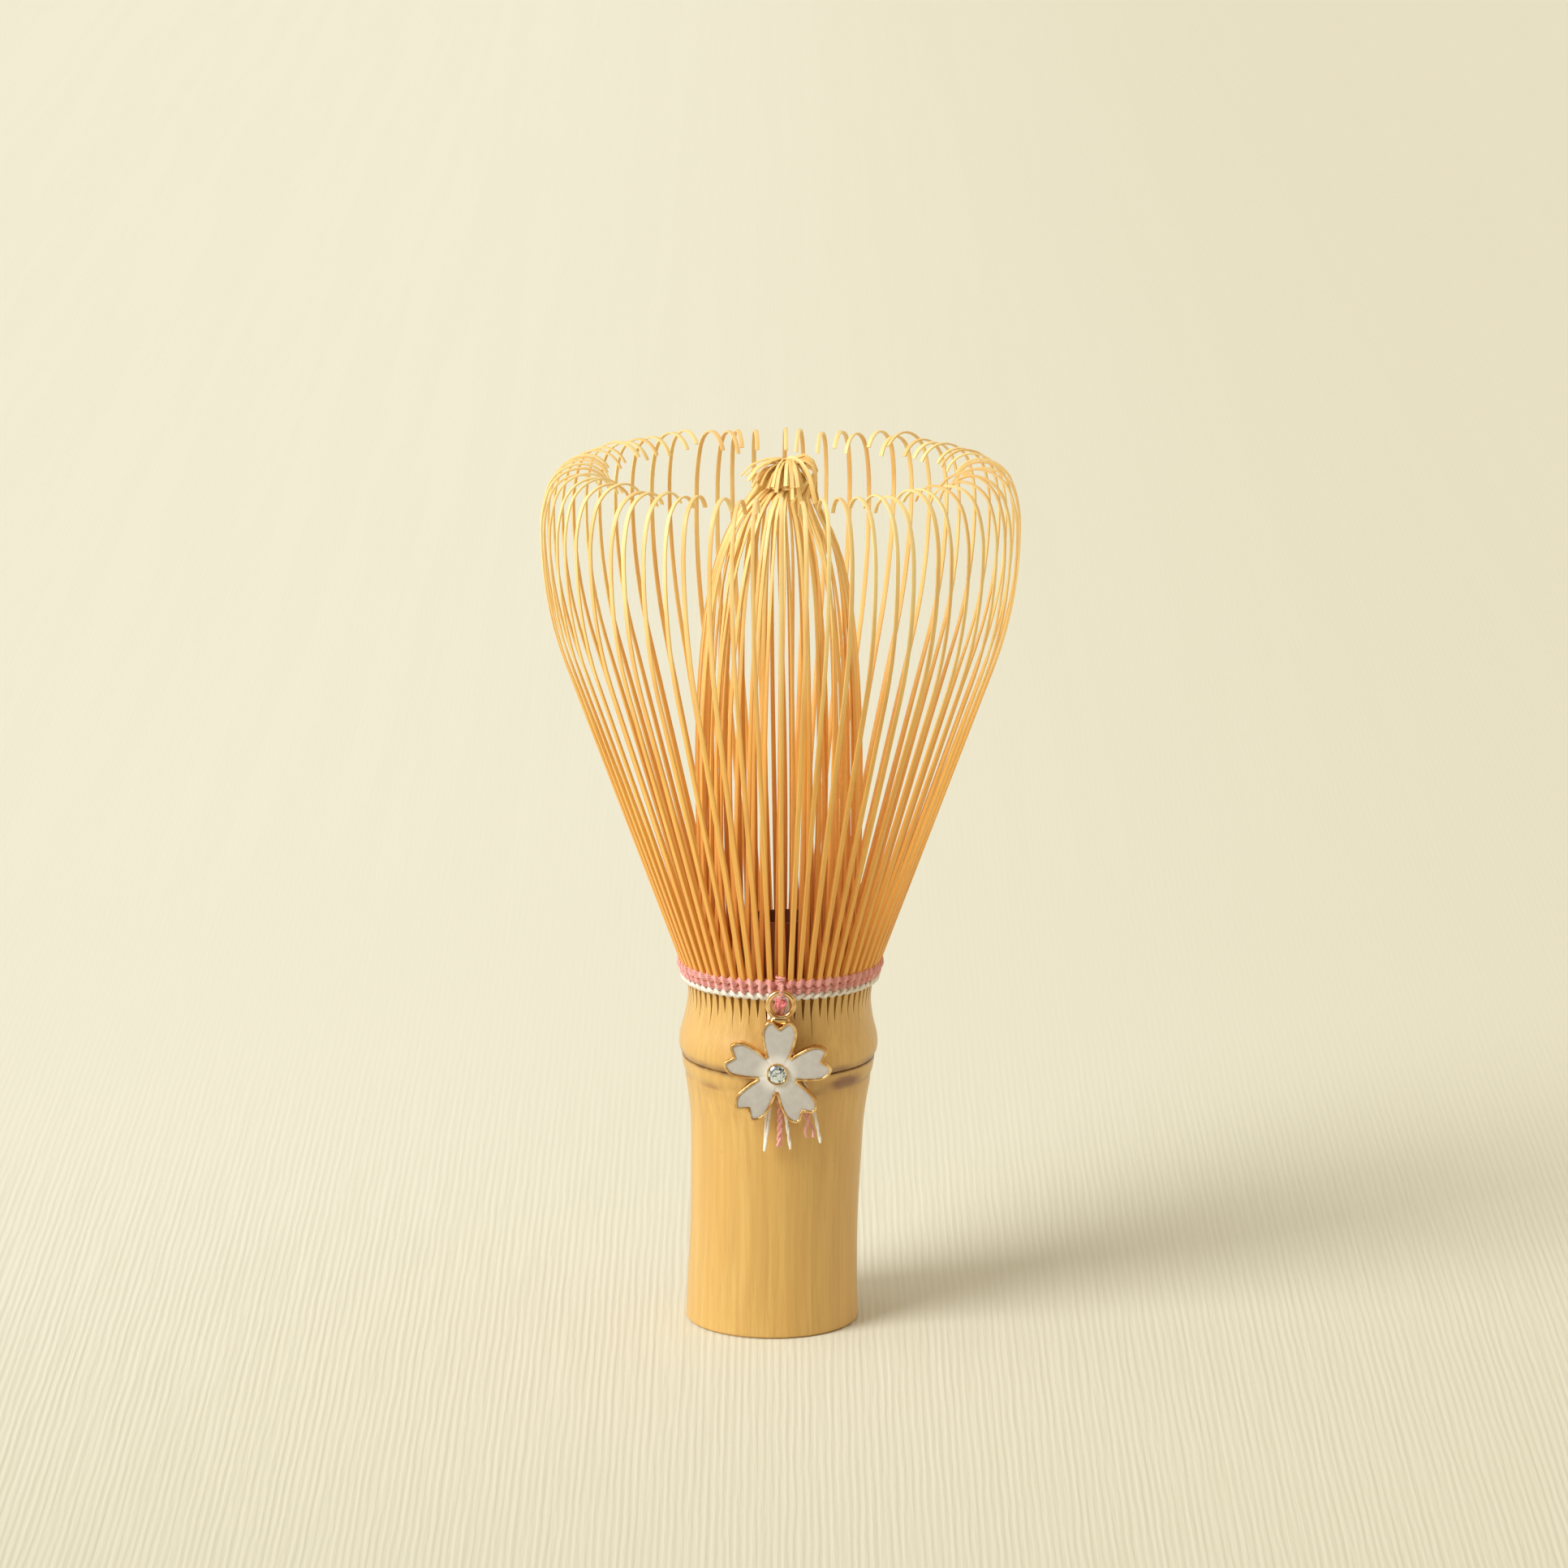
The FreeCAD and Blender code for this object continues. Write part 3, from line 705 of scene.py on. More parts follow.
def bent(stations, seed):
    """A copy of the slat on its own line; its UV map is in millimetres, across in U and along in V."""
    piece = slat.copy()
    piece.data = slat.data.copy()
    bpy.context.collection.objects.link(piece)
    run = [0.0]
    for before, after in zip(stations, stations[1:]):
        run.append(run[-1] + (after[0] - before[0]).length)
    layout = []
    for corner, unit in zip(piece.data.vertices, slat_corners):
        step = round(unit.z)
        point, across, out, width, depth = stations[step]
        corner.co = (point + across * unit.x * width - out * (unit.y + 0.5) * depth) * MM
        layout.append((unit.x * width + unit.y * depth + seed * 3.7, run[step]))
    uv = piece.data.uv_layers.active or piece.data.uv_layers.new(name="UVMap")
    for loop in piece.data.loops:
        uv.data[loop.index].uv = layout[loop.vertex_index]
    return piece


# %% [markdown]
# ## Outer tines
# Sixty-four slats stand in the flared rim. Each runs straight out, bows in, and its tip, softened
# over steam, curls over and down. No two are alike, so every tine has its own small lean, curl, twist
# and sideways drift from a seeded draw. Four neighbours make a group, joined into one piece.

# %% Outer tines
OUTER_FOOT_Z = 45.0
OUTER_W = (0.66, 0.5)
OUTER_DEEP = (0.78, 0.24)
OUTER_STEPS = ((39.3 + 2.35, 0, 9), (17.7, -20.3, 7), (4.97, -19, 4), (5.33, -71, 6), (3.86, -67, 6))


def walk(radius, z, heading, steps):
    """Stations (radius, z, heading, run) along straight and round steps (length, turn outward, count)."""
    stations = [(radius, z, heading, 0.0)]
    run = 0.0
    for length, turn, count in steps:
        for _ in range(count):
            middle = math.radians(heading + turn / count / 2)
            radius += math.sin(middle) * length / count
            z += math.cos(middle) * length / count
            heading += turn / count
            run += length / count
            stations.append((radius, z, heading, run))
    return stations


def outer_stations(number, draw):
    """The line of one outer tine, standing at its own angle round the crown."""
    lean = draw.gauss(0, 0.22)
    curl = draw.gauss(1, 0.045)
    reach = draw.gauss(1, 0.05)
    drift = draw.gauss(0, 0.3)
    twist = draw.gauss(0, 7)
    wide = draw.uniform(0.9, 1.08)
    steps = [(length * (reach if index > 2 else 1), turn * (curl if index > 1 else 1), count)
             for index, (length, turn, count) in enumerate(OUTER_STEPS)]
    spots = walk(root_surface_r(OUTER_FOOT_Z), OUTER_FOOT_Z, FLARE, steps)
    total = spots[-1][3]
    angle = math.radians(-90 + PITCH * number + 0.35 * math.sin(1.7 * number + 1))
    radial = Vector((math.cos(angle), math.sin(angle), 0))
    aside = Vector((-math.sin(angle), math.cos(angle), 0))
    up = Vector((0, 0, 1))
    stations = []
    for radius, z, heading, run in spots:
        share = run / total
        tilt = math.radians(lean) * max(0.0, run - 2) * 0.6
        point = CROWN + radial * (radius + tilt * 0.5) + up * z + aside * (tilt + drift * share ** 3 * 1.6)
        out = radial * math.cos(math.radians(heading)) - up * math.sin(math.radians(heading))
        roll = math.radians(twist) * share ** 2
        across = aside * math.cos(roll) + out * math.sin(roll)
        out = out * math.cos(roll) - aside * math.sin(roll)
        width = (OUTER_W[0] + (OUTER_W[1] - OUTER_W[0]) * share) * wide
        depth = OUTER_DEEP[0] + (OUTER_DEEP[1] - OUTER_DEEP[0]) * min(1.0, run / 41)
        stations.append((point, across, out, width, depth))
    return stations


rng = random.Random(11)
for group in range(GROUPS):
    tines = []
    for place in range(PER_GROUP):
        number = group * PER_GROUP + place - 1
        tines.append(bent(outer_stations(number, rng), number))
    piece = joined(f"outer_tine_group_{group + 1:02d}", tines)
    finish_with(piece, outer_wood)
    smooth(piece, 35)
    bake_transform(piece)
    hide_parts(f"outer_tines_{group + 1:02d}")
report(piece)

# %% [markdown]
# ## Inner tines
# The inner tines are pulled together at the top and their softened tips fall over in a mop: those from
# the back and left fold over the front, those from the right roll over beside them, and the rest end
# under the mop. A spun pattern would look like a machine part, so each tine gets its own few points,
# worked out from its angle round the bundle, and a smooth line through them.

# %% Inner tines
INNER_FOOT_Z = 45.4
INNER_W = (0.6, 0.4, 0.62)
INNER_DEEP = (0.5, 0.15)
BUNDLE_RISE = ((45.4, 9.75), (54, 10.05), (64, 10.35), (74, 10.4), (83, 10.05), (91, 9.3), (96.5, 8.25),
               (100.3, 6.95), (103.2, 5.4))
MOP_HUB = Vector((0.9, -0.5, 0))


def smooth_line(points, count):
    """A smooth line through the points (Catmull-Rom), at evenly shared places."""
    ends = [points[0] * 2 - points[1]] + list(points) + [points[-1] * 2 - points[-2]]
    dense = []
    for i in range(1, len(ends) - 2):
        p0, p1, p2, p3 = ends[i - 1:i + 3]
        for part in range(12):
            t = part / 12
            dense.append(0.5 * ((2 * p1) + (p2 - p0) * t + (2 * p0 - 5 * p1 + 4 * p2 - p3) * t ** 2
                                + (3 * p1 - p0 - 3 * p2 + p3) * t ** 3))
    dense.append(points[-1].copy())
    run = [0.0]
    for before, after in zip(dense, dense[1:]):
        run.append(run[-1] + (after - before).length)
    total = run[-1]
    spots = []
    here = 0
    for index in range(count):
        want = place_share(index / (count - 1)) * total
        while here < len(run) - 2 and run[here + 1] < want:
            here += 1
        span = run[here + 1] - run[here]
        spots.append(dense[here].lerp(dense[here + 1], (want - run[here]) / span if span else 0))
    return spots


def place_share(share):
    """More stations toward the tip, where a tine bends most."""
    return 1 - (1 - share) ** 1.55


def turned_to(angle, radius, z):
    """A point at an angle round the bundle's own axis, which drifts forward at the top."""
    turn = math.radians(angle)
    return Vector((CROWN_X + radius * math.cos(turn), radius * math.sin(turn), z))


def mop_point(turn, reach, z):
    """A point of the folded tips, at a direction and distance from the place where they fold."""
    turn = math.radians(turn)
    return CROWN + MOP_HUB + Vector((reach * math.cos(turn), reach * math.sin(turn), z))


def tip_points(angle, draw, layer):
    """The last points of an inner tine: over the top, then down on the far side."""
    facing = (angle + 360) % 360
    if 12 <= facing < 200:
        fall = -176 + (facing - 12) * 0.69 + draw.uniform(-9, 9)
        left = max(0.0, math.cos(math.radians(fall + 180)))
        crest = 110.0 - 0.42 * layer + draw.uniform(-0.15, 0.15)
        reach = (3.6 + 2.4 * left ** 2) * (1 - 0.11 * layer) + draw.uniform(-0.35, 0.4)
        drop = 106.6 + 1.3 * left ** 4 + draw.uniform(-0.35, 0.5)
        if facing > 150 and draw.random() < 0.4:
            reach, drop = reach + 0.9, drop - 1.6
        return [turned_to(angle, 3.9 - 0.2 * layer, 105.9) + MOP_HUB * 0.4,
                turned_to(angle, 1.9, crest - 1.3) + MOP_HUB * 0.8,
                mop_point(fall + 180, 0.25, crest - 0.35),
                mop_point(fall, 0.3 * reach, crest),
                mop_point(fall, 0.72 * reach, crest - 0.3 * (crest - drop)),
                mop_point(fall, reach, drop)]
    if facing >= 285 or facing < 12:
        aside = draw.uniform(-0.8, 0.8)
        crest = 110.1 - 0.35 * layer + draw.uniform(-0.15, 0.15)
        return [turned_to(angle, 4.6 - 0.2 * layer, 105.6),
                CROWN + Vector((4.4, -0.6 + aside, 108.2)),
                CROWN + Vector((3.7, 0.1 + aside, crest - 0.3)),
                CROWN + Vector((2.7, 0.4 + 0.7 * aside, crest)),
                CROWN + Vector((1.7, 0.1 + 0.4 * aside, crest - 0.5)),
                CROWN + Vector((1.2, -0.6, crest - 1.4))]
    fall = facing + 180 + draw.uniform(-30, 30)
    crest = 107.9 - 0.3 * layer + draw.uniform(-0.3, 0.3)
    return [turned_to(angle, 3.7 - 0.2 * layer, 105.4) + MOP_HUB * 0.4,
            turned_to(angle, 1.7, crest - 0.8) + MOP_HUB * 0.8,
            mop_point(fall, 0.3, crest),
            mop_point(fall, 1.6, crest - 0.4),
            mop_point(fall, 2.6, crest - 1.5),
            mop_point(fall, 3.0, crest - 2.6)]


def inner_stations(number, draw):
    """The line of one inner tine."""
    place = number % PER_GROUP
    layer = (0, 2, 1, 3)[place]
    angle = -90 + 22.5 * (number // PER_GROUP) + (place - 1.5) * PITCH
    sway = draw.gauss(0, 3.4)
    swirl = draw.gauss(3.5, 3.0)
    bow = draw.gauss(0, 0.26)
    if number % 9 == 4:
        sway += draw.choice((-1, 1)) * draw.uniform(5, 9)
    points = []
    for z, radius in BUNDLE_RISE:
        share = (z - BUNDLE_RISE[0][0]) / (BUNDLE_RISE[-1][0] - BUNDLE_RISE[0][0])
        drawn_in = (0.1 + 0.27 * layer) * math.sin(math.pi * min(1, share * 1.25) / 2) * (1 - 0.4 * share)
        swing = sway * math.sin(math.pi * share) + swirl * share ** 2
        points.append(turned_to(angle + swing, radius - drawn_in + bow * math.sin(math.pi * share), z))
    points += tip_points(angle + swirl, draw, layer)
    spots = smooth_line(points, STEPS + 1)
    turn = math.radians(angle)
    out = Vector((math.cos(turn), math.sin(turn), 0))
    twist = math.radians(draw.gauss(0, 34))
    broad = draw.uniform(0.8, 1.12)
    stations = []
    for index, point in enumerate(spots):
        ahead = spots[min(index + 1, STEPS)] - spots[max(index - 1, 0)]
        ahead.normalize()
        out = (out - ahead * out.dot(ahead)).normalized()
        share = index / STEPS
        rolled = Matrix.Rotation(twist * math.sin(math.pi * share ** 1.5), 3, ahead) @ out
        across = ahead.cross(rolled).normalized()
        width = INNER_W[0] + (INNER_W[1] - INNER_W[0]) * min(1.0, share / 0.6)
        width = (width + (INNER_W[2] - INNER_W[1]) * max(0.0, share - 0.7) / 0.3) * (1 + (broad - 1) * share)
        depth = INNER_DEEP[0] + (INNER_DEEP[1] - INNER_DEEP[0]) * min(1.0, share * 1.9)
        stations.append((point, across, rolled, width, depth))
    return stations


rng = random.Random(29)
for group in range(GROUPS):
    tines = []
    for place in range(PER_GROUP):
        number = group * PER_GROUP + place
        tines.append(bent(inner_stations(number, rng), number + 100))
    piece = joined(f"inner_tine_group_{group + 1:02d}", tines)
    finish_with(piece, inner_wood)
    smooth(piece, 35)
    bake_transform(piece)
    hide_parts(f"inner_tines_{group + 1:02d}")
bpy.data.objects.remove(slat)
report(piece)

# %% [markdown]
# ## The dark strip inside
# Low down between the inner tines stands a dark strip with a straight top edge. It is hardly seen, so
# a rolled strip is enough: a tube from a circle, pushed down, given a wall, with its top edge a little
# uneven.

# %% Dark strip
def rolled_strip():
    """A short upright roll, dark brown."""
    bpy.ops.mesh.primitive_circle_add(vertices=48, radius=STRIP_R * MM, location=(1.0 * MM, 0, STRIP_TOP * MM))
    piece = started("inner_dark_strip")
    only(piece)
    bpy.ops.object.transform_apply(location=True)
    with editing(piece):
        bpy.ops.mesh.select_all(action="SELECT")
        extrude(z=STRIP_FOOT - STRIP_TOP)
    solid = piece.modifiers.new("wall", "SOLIDIFY")
    solid.thickness = 0.4 * MM
    bpy.ops.object.modifier_apply(modifier="wall")
    for corner in piece.data.vertices:
        if corner.co.z > 0.5 * (STRIP_TOP + STRIP_FOOT) * MM:
            corner.co.z += 0.12 * MM * math.sin(2.3 * math.atan2(corner.co.y, corner.co.x) + 1)
    outward(piece)
    return piece


def dark_brown_fibre():
    """Dark brown with upright fibres."""
    made = Finish("dark_brown_fibre")
    fibre = made.grain((2600, 2600, 60), 3.0, 0.6)
    tone = made.mix(made.span(fibre, 0.3, 0.7), srgb(98, 52, 22), srgb(138, 78, 36))
    return made.done(Base_Color=tone, Roughness=0.75, Normal=made.bump(fibre, 0.2, 0.3))


STRIP_R, STRIP_FOOT, STRIP_TOP = 3.4, 34.4, 51.9
dark_strip = rolled_strip()
finish_with(dark_strip, dark_brown_fibre())
smooth(dark_strip, 35)
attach(dark_strip, "handle_body")
report(dark_strip)

# %% [markdown]
# ## Thread
# The threads are cotton cords of two or three plies laid together. What makes thread look like thread
# is the ply: light catches each strand as a slanted bump. So every cord here is real plies, round
# curves wound about the cord's own line and turned into mesh, and the fine filaments inside a ply are
# left to the bump of a material that reads U round the strand and V along it in millimetres, with
# painted shade in their grooves and painted gleams.

# %% Thread materials
def thread(name, deep, face, gleam):
    """Twisted filaments: fine slanted lines, with painted shade in the grooves, painted gleams and a soft sheen.
    """
    made = Finish(name, "UV")
    lines = made.grain((9.0, 2.2, 1), 3.0, 0.6, (0, 0, 24))
    painted_gleams = made.grain((1.5, 0.9, 1), 2.0, 0.5)
    # painted shade in the grooves between filaments, and painted highlights where the gleam colour is mixed in
    tone = made.mix(made.span(lines, 0.3, 0.62), deep, face)
    tone = made.mix(made.span(painted_gleams, 0.5, 0.75, 0.0, 0.55), tone, gleam)
    return made.done(Base_Color=tone, Roughness=0.4, Sheen_Weight=0.25, Sheen_Roughness=0.4,
                     Specular_IOR_Level=0.6, Normal=made.bump(lines, 0.05, 0.7))


pink_thread = thread("pink_cotton", srgb(210, 122, 120), srgb(252, 188, 180), srgb(255, 228, 220))
coral_thread = thread("coral_cotton", srgb(206, 96, 100), srgb(242, 138, 140), srgb(252, 186, 184))
white_thread = thread("white_cotton", srgb(222, 214, 200), srgb(246, 242, 232), srgb(255, 253, 248))
print("thread materials:", pink_thread.name, coral_thread.name, white_thread.name)


# %% Plies
def strand(name, points, radius, closed=False, sides_more=1):
    """One round ply along points in mm, as mesh, with U round it and V along it in mm."""
    curve = bpy.data.curves.new(name, "CURVE")
    curve.dimensions = "3D"
    curve.bevel_depth = radius * MM
    curve.bevel_resolution = sides_more
    curve.use_fill_caps = not closed
    line = curve.splines.new("POLY")
    line.points.add(len(points) - 1)
    for knot, point in zip(line.points, points):
        knot.co = (*(point * MM), 1)
    line.use_cyclic_u = closed
    piece = bpy.data.objects.new(name, curve)
    bpy.context.collection.objects.link(piece)
    only(piece)
    bpy.ops.object.convert(target="MESH")
    piece = started(name)
    sides = 4 + 2 * sides_more
    run = [0.0]
    for before, after in zip(points, points[1:]):
        run.append(run[-1] + (after - before).length)
    uv = piece.data.uv_layers.active or piece.data.uv_layers.new(name="UVMap")
    for loop in piece.data.loops:
        ring, side = divmod(loop.vertex_index, sides)
        uv.data[loop.index].uv = (side / sides, run[min(ring, len(run) - 1)])
    return piece


def wound(line, plies, offset, turns_per_mm, start=0.0, spread=None):
    """Points of each ply wound about a cord's line; spread opens the lay toward the end."""
    run = 0.0
    made = [[] for _ in range(plies)]
    side = Vector((1, 0, 0))
    for index, point in enumerate(line):
        ahead = (line[min(index + 1, len(line) - 1)] - line[max(index - 1, 0)]).normalized()
        side = (side - ahead * side.dot(ahead)).normalized()
        other = ahead.cross(side)
        if index:
            run += (point - line[index - 1]).length
        share = index / (len(line) - 1)
        arm = offset * (spread(share) if spread else 1)
        for ply in range(plies):
            turn = start + 2 * math.pi * (run * turns_per_mm + ply / plies)
            made[ply].append(point + (side * math.cos(turn) + other * math.sin(turn)) * arm)
    return made


# %% [markdown]
# ## The woven band
# Three courses hold the split open: one white, then two pink. Each passes in front of an outer tine
# and dips into the gap beside it, so a course is a row of bumps, one to a tine, wide on the tine and
# pinched in the gap. A course is a ring of plies whose radius rises and falls 64 times. The pink cord
# has three thin plies, and the white has two fat ones that turn once every two tines.

# %% The woven band
PLY_STEPS = 10            # points on each ply between two tines


def course_height(low_share, node):
    """A height inside a band node's box."""
    low, high = box_mm(node)
    return low.z + (high.z - low.z) * low_share


WHITE_Z = course_height(0.5, "white_thread_band")
PINK_LOW, PINK_HIGH = (course_height(share, "pink_thread_band") for share in (0.235, 0.73))


def course(name, z, plies, stacked, ply_r, proud, dip, pinch, slant, seed):
    """The plies of one course. Stacked plies lie one over another, and others are wound together.

    proud is how far the cord's middle stands out of the roots, dip how much further it goes on a tine
    and back in a gap, pinch how far the plies close up in the gap, and slant how steeply they cross.
    """
    draw = random.Random(seed)
    uneven = [draw.uniform(-1, 1) for _ in range(TINES)]
    parts = []
    for ply in range(plies):
        points = []
        for index in range(TINES * PLY_STEPS):
            place = index / PLY_STEPS
            bump = math.cos(2 * math.pi * place)
            side = 1 if place < TINES / 2 else -1
            jitter = uneven[round(place) % TINES] * 0.05 * (0.5 + 0.5 * bump)
            closed = 1 - pinch * (0.5 - 0.5 * bump)
            lean = slant * side * math.sin(2 * math.pi * place)
            if stacked:
                out = -0.03 * (ply - (plies - 1) / 2) ** 2
                up = (ply - (plies - 1) / 2) * 2.05 * ply_r * closed
            else:
                turn = math.pi * place * side + 2 * math.pi * ply / plies
                out = ply_r * 0.72 * math.cos(turn)
                up = ply_r * 0.85 * math.sin(turn) * closed
            radius = root_surface_r(z) + proud + dip * bump + out + jitter
            points.append(around(-90 + PITCH * place, radius, z + up + lean + jitter))
        parts.append(strand(f"{name}_{ply}", points, ply_r, closed=True))
    return parts


white_band = joined("white_band", course("white", WHITE_Z, 2, False, 0.27, 0.05, 0.09, 0.15, 0.1, 3))
pink_parts = course("pink_low", PINK_LOW, 4, True, 0.113, 0.05, 0.27, 0.3, 0.2, 4)
pink_parts += course("pink_high", PINK_HIGH, 4, True, 0.113, 0.05, 0.27, 0.3, 0.2, 5)
pink_band = joined("pink_band", pink_parts)
for piece, material, colour in ((white_band, white_thread, "white"), (pink_band, pink_thread, "pink")):
    finish_with(piece, material)
    smooth(piece, 60)
    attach(piece, "handle_body")
    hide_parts(f"{colour}_thread_band")
    report(piece)

# %% [markdown]
# ## Loose ends
# Where the weaving ends, five thread ends hang out of the band, behind the charm: three white and two
# pink, about 20 mm long. They are too short to lie in coils or to be cords in their own right, so each
# is a few plies wound about one smooth line. The line is a NURBS curve, read back from Blender as
# points, on the CAD part's route. Two ends lie nearer the middle than in the CAD part, up to 2 mm, so
# that the blossom hides them. One white end is a doubled strand, and one pink end has come untwisted
# into two crossing plies.

# %% Loose ends
TAIL_Y = -12.78
TAIL_FALL = ((-12.36, 44.35), (-12.7, 43.55), (TAIL_Y, 41.9))
ROUTES = {
    "white_thread_tail_1": (-0.3, ((-0.2, 38.6), (-0.22, 34.6), (-0.4, 29.9), (-0.92, 25.0))),
    "white_thread_tail_2": (1.6, ((1.45, 38.2), (1.42, 33.6), (1.68, 29.2), (2.31, 25.2))),
    "white_thread_tail_3": (1.9, ((2.1, 38.4), (3.3, 35.0), (5.1, 31.2), (6.0, 26.0))),
    "pink_thread_tail_1": (0.65, ((0.55, 38.4), (0.75, 34.0), (1.08, 29.7), (0.9, 25.6))),
    "pink_thread_tail_2": (1.4, ((2.0, 38.6), (3.0, 35.0), (4.1, 30.8), (4.75, 26.7))),
}


def nurbs_line(points, detail=14):
    """A smooth NURBS curve on a route in mm, read back as points."""
    curve = bpy.data.curves.new("route", "CURVE")
    curve.dimensions = "3D"
    line = curve.splines.new("NURBS")
    line.points.add(len(points) - 1)
    for knot, point in zip(line.points, points):
        knot.co = (*(Vector(point) * MM), 1)
    line.order_u = 3
    line.use_endpoint_u = True
    curve.resolution_u = detail
    carrier = bpy.data.objects.new("route", curve)
    mesh = bpy.data.meshes.new_from_object(carrier)
    made = [corner.co / MM for corner in mesh.vertices]
    bpy.data.objects.remove(carrier)
    bpy.data.meshes.remove(mesh)
    return made


def tail_line(node):
    """The route of one loose end."""
    top_x, fall = ROUTES[node]
    return nurbs_line([(top_x, y, z) for y, z in TAIL_FALL] + [(x, TAIL_Y, z) for x, z in fall])


def tail_plies(node):
    """The strands of one loose end: line points per ply and the ply's radius."""
    line = tail_line(node)
    if node == "white_thread_tail_1":
        return wound(line, 2, 0.17, 0.035, 0.4, lambda share: 0.6 + 0.75 * share), 0.17
    if node == "pink_thread_tail_1":
        return wound(line, 2, 0.19, 0.45, 0.2), 0.22
    if node == "pink_thread_tail_2":
        return wound(line, 2, 0.22, 0.17, 3.4, lambda share: 0.8 + 3.6 * max(0, share - 0.6)), 0.19
    return wound(line, 2, 0.09, 0.32, 0.9), 0.145


for node in ROUTES:
    plies, ply_r = tail_plies(node)
    piece = joined(node.replace("thread_tail", "loose_end"),
                   [strand("ply", points, ply_r, sides_more=2) for points in plies])
    colour = node.split("_")[0]
    finish_with(piece, white_thread if colour == "white" else pink_thread)
    smooth(piece, 50)
    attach(piece, "handle_body")
    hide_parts(node)
    report(piece)

# %% [markdown]
# ## The charm's tie, loop and knot
# A pink thread is tied twice round the foot of the front tine. From there a loop goes through the
# charm's eye, and its knot sits in the eye. The tie belongs to the handle. The loop can lift on the
# tie, and the charm can swing on the loop, so they are separate pieces. The knot is a trefoil, the
# simplest line that really is a knot, drawn tight enough to read as a small tangle.

# %% Tie, loop and knot
casting_low, casting_high = box_mm("charm_casting")
loop_low, loop_high = box_mm("charm_loop")
EYE = Vector(((loop_low.x + loop_high.x) / 2, (loop_low.y + loop_high.y) / 2, 44.0))
TIE_Z = 46.9


def tie():
    """Two turns of thread round the front tine, closed behind it."""
    parts = []
    for level, lift in ((TIE_Z - 0.14, 0.1), (TIE_Z + 0.17, -0.08)):
        middle = -root_surface_r(level) + 0.4
        points = []
        for index in range(28):
            turn = 2 * math.pi * index / 28
            square = 1 / max(abs(math.cos(turn)), abs(math.sin(turn))) ** 0.55
            x = EYE.x - 0.05 + 0.5 * math.cos(turn) * square
            y = middle + 0.52 * math.sin(turn) * square
            points.append(Vector((x, y, level + lift * math.cos(turn))))
        parts += [strand("tie", ply, 0.12, closed=True) for ply in wound(points + points[:1], 2, 0.07, 0.7)]
    return joined("charm_tie", parts)


def loop_line():
    """The loop's line: down in front of the eye's top, through the eye, and up behind it."""
    half = 0.62
    low, high = 44.78, 46.42
    points = []
    for index in range(40):
        turn = 2 * math.pi * index / 40
        y = EYE.y - half * math.cos(turn)
        z = (low + high) / 2 + (high - low) / 2 * math.sin(turn)
        points.append(Vector((EYE.x + 0.1 * math.sin(turn) + 0.06, y, z)))
    return points


def knot_points(size, turn_off):
    """A trefoil knot in the plane of the eye."""
    points = []
    for index in range(60):
        t = 2 * math.pi * index / 60
        x = math.sin(t) + 2 * math.sin(2 * t)
        z = math.cos(t) - 2 * math.cos(2 * t)
        y = -math.sin(3 * t)
        spot = Matrix.Rotation(turn_off, 3, "Y") @ Vector((x, y * 0.9, z))
        points.append(EYE + Vector((0, 0, 0.02)) + spot * size)
    return points


loop_plies = [strand("loop", ply, 0.13, closed=True) for ply in wound(loop_line() + loop_line()[:1], 2, 0.1, 0.9)]
loop = joined("charm_loop_thread", loop_plies)
knot = joined("charm_knot", [strand("knot", knot_points(0.2, 0.3), 0.2, closed=True, sides_more=2),
                             strand("knot", knot_points(0.13, 1.3), 0.2, closed=True, sides_more=2)])
tie_piece = tie()
for piece, material, body in ((tie_piece, pink_thread, "handle_body"), (loop, pink_thread, "thread_loop"),
                              (knot, coral_thread, "thread_loop")):
    finish_with(piece, material)
    smooth(piece, 60)
    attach(piece, body)
    report(piece)
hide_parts("loop_tie")
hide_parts("charm_loop")

# %% [markdown]
# ## The blossom charm
# The charm is a flat casting, gold plated: a back plate, a raised rim round five notched petals, a
# cup for the stone and a ring to hang it by. The petals are filled with pearl enamel. A blossom could
# be traced as a curve, but one filled circle, its corners drawn to the outline and then extruded, inset
# and sunk, gives the plate, the rim and the recess in one go. The charm is made lying flat with its
# middle at the origin, and hung last.

# %% The blossom's outline
PLATE_T = 0.7
RIM_H = 1.25
RIM_W = 0.33
EYE_TO_FLOWER = 8.75
TILT = 2.9
CORNER, FLANK, SIDE, SHOULDER, LOBE = (1.54, 2.2), (1.98, 3.6), (2.2, 4.85), (2.0, 5.95), (1.28, 6.68)
LOBE_END, NOTCH = (0.88, 6.62), 5.86
ARC_POINTS = 6


def arc_through(a, b, c, count):
    """Points of the circle through three points, from a to c, without c."""
    (ax, ay), (bx, by), (cx, cy) = a, b, c
    d = 2 * (ax * (by - cy) + bx * (cy - ay) + cx * (ay - by))
    ux = ((ax ** 2 + ay ** 2) * (by - cy) + (bx ** 2 + by ** 2) * (cy - ay) + (cx ** 2 + cy ** 2) * (ay - by)) / d
    uy = ((ax ** 2 + ay ** 2) * (cx - bx) + (bx ** 2 + by ** 2) * (ax - cx) + (cx ** 2 + cy ** 2) * (bx - ax)) / d
    first = math.atan2(ay - uy, ax - ux)
    sweep = (math.atan2(cy - uy, cx - ux) - first + math.pi) % (2 * math.pi) - math.pi
    radius = math.hypot(ax - ux, ay - uy)
    return [Vector((ux + radius * math.cos(first + sweep * k / count),
                    uy + radius * math.sin(first + sweep * k / count))) for k in range(count)]


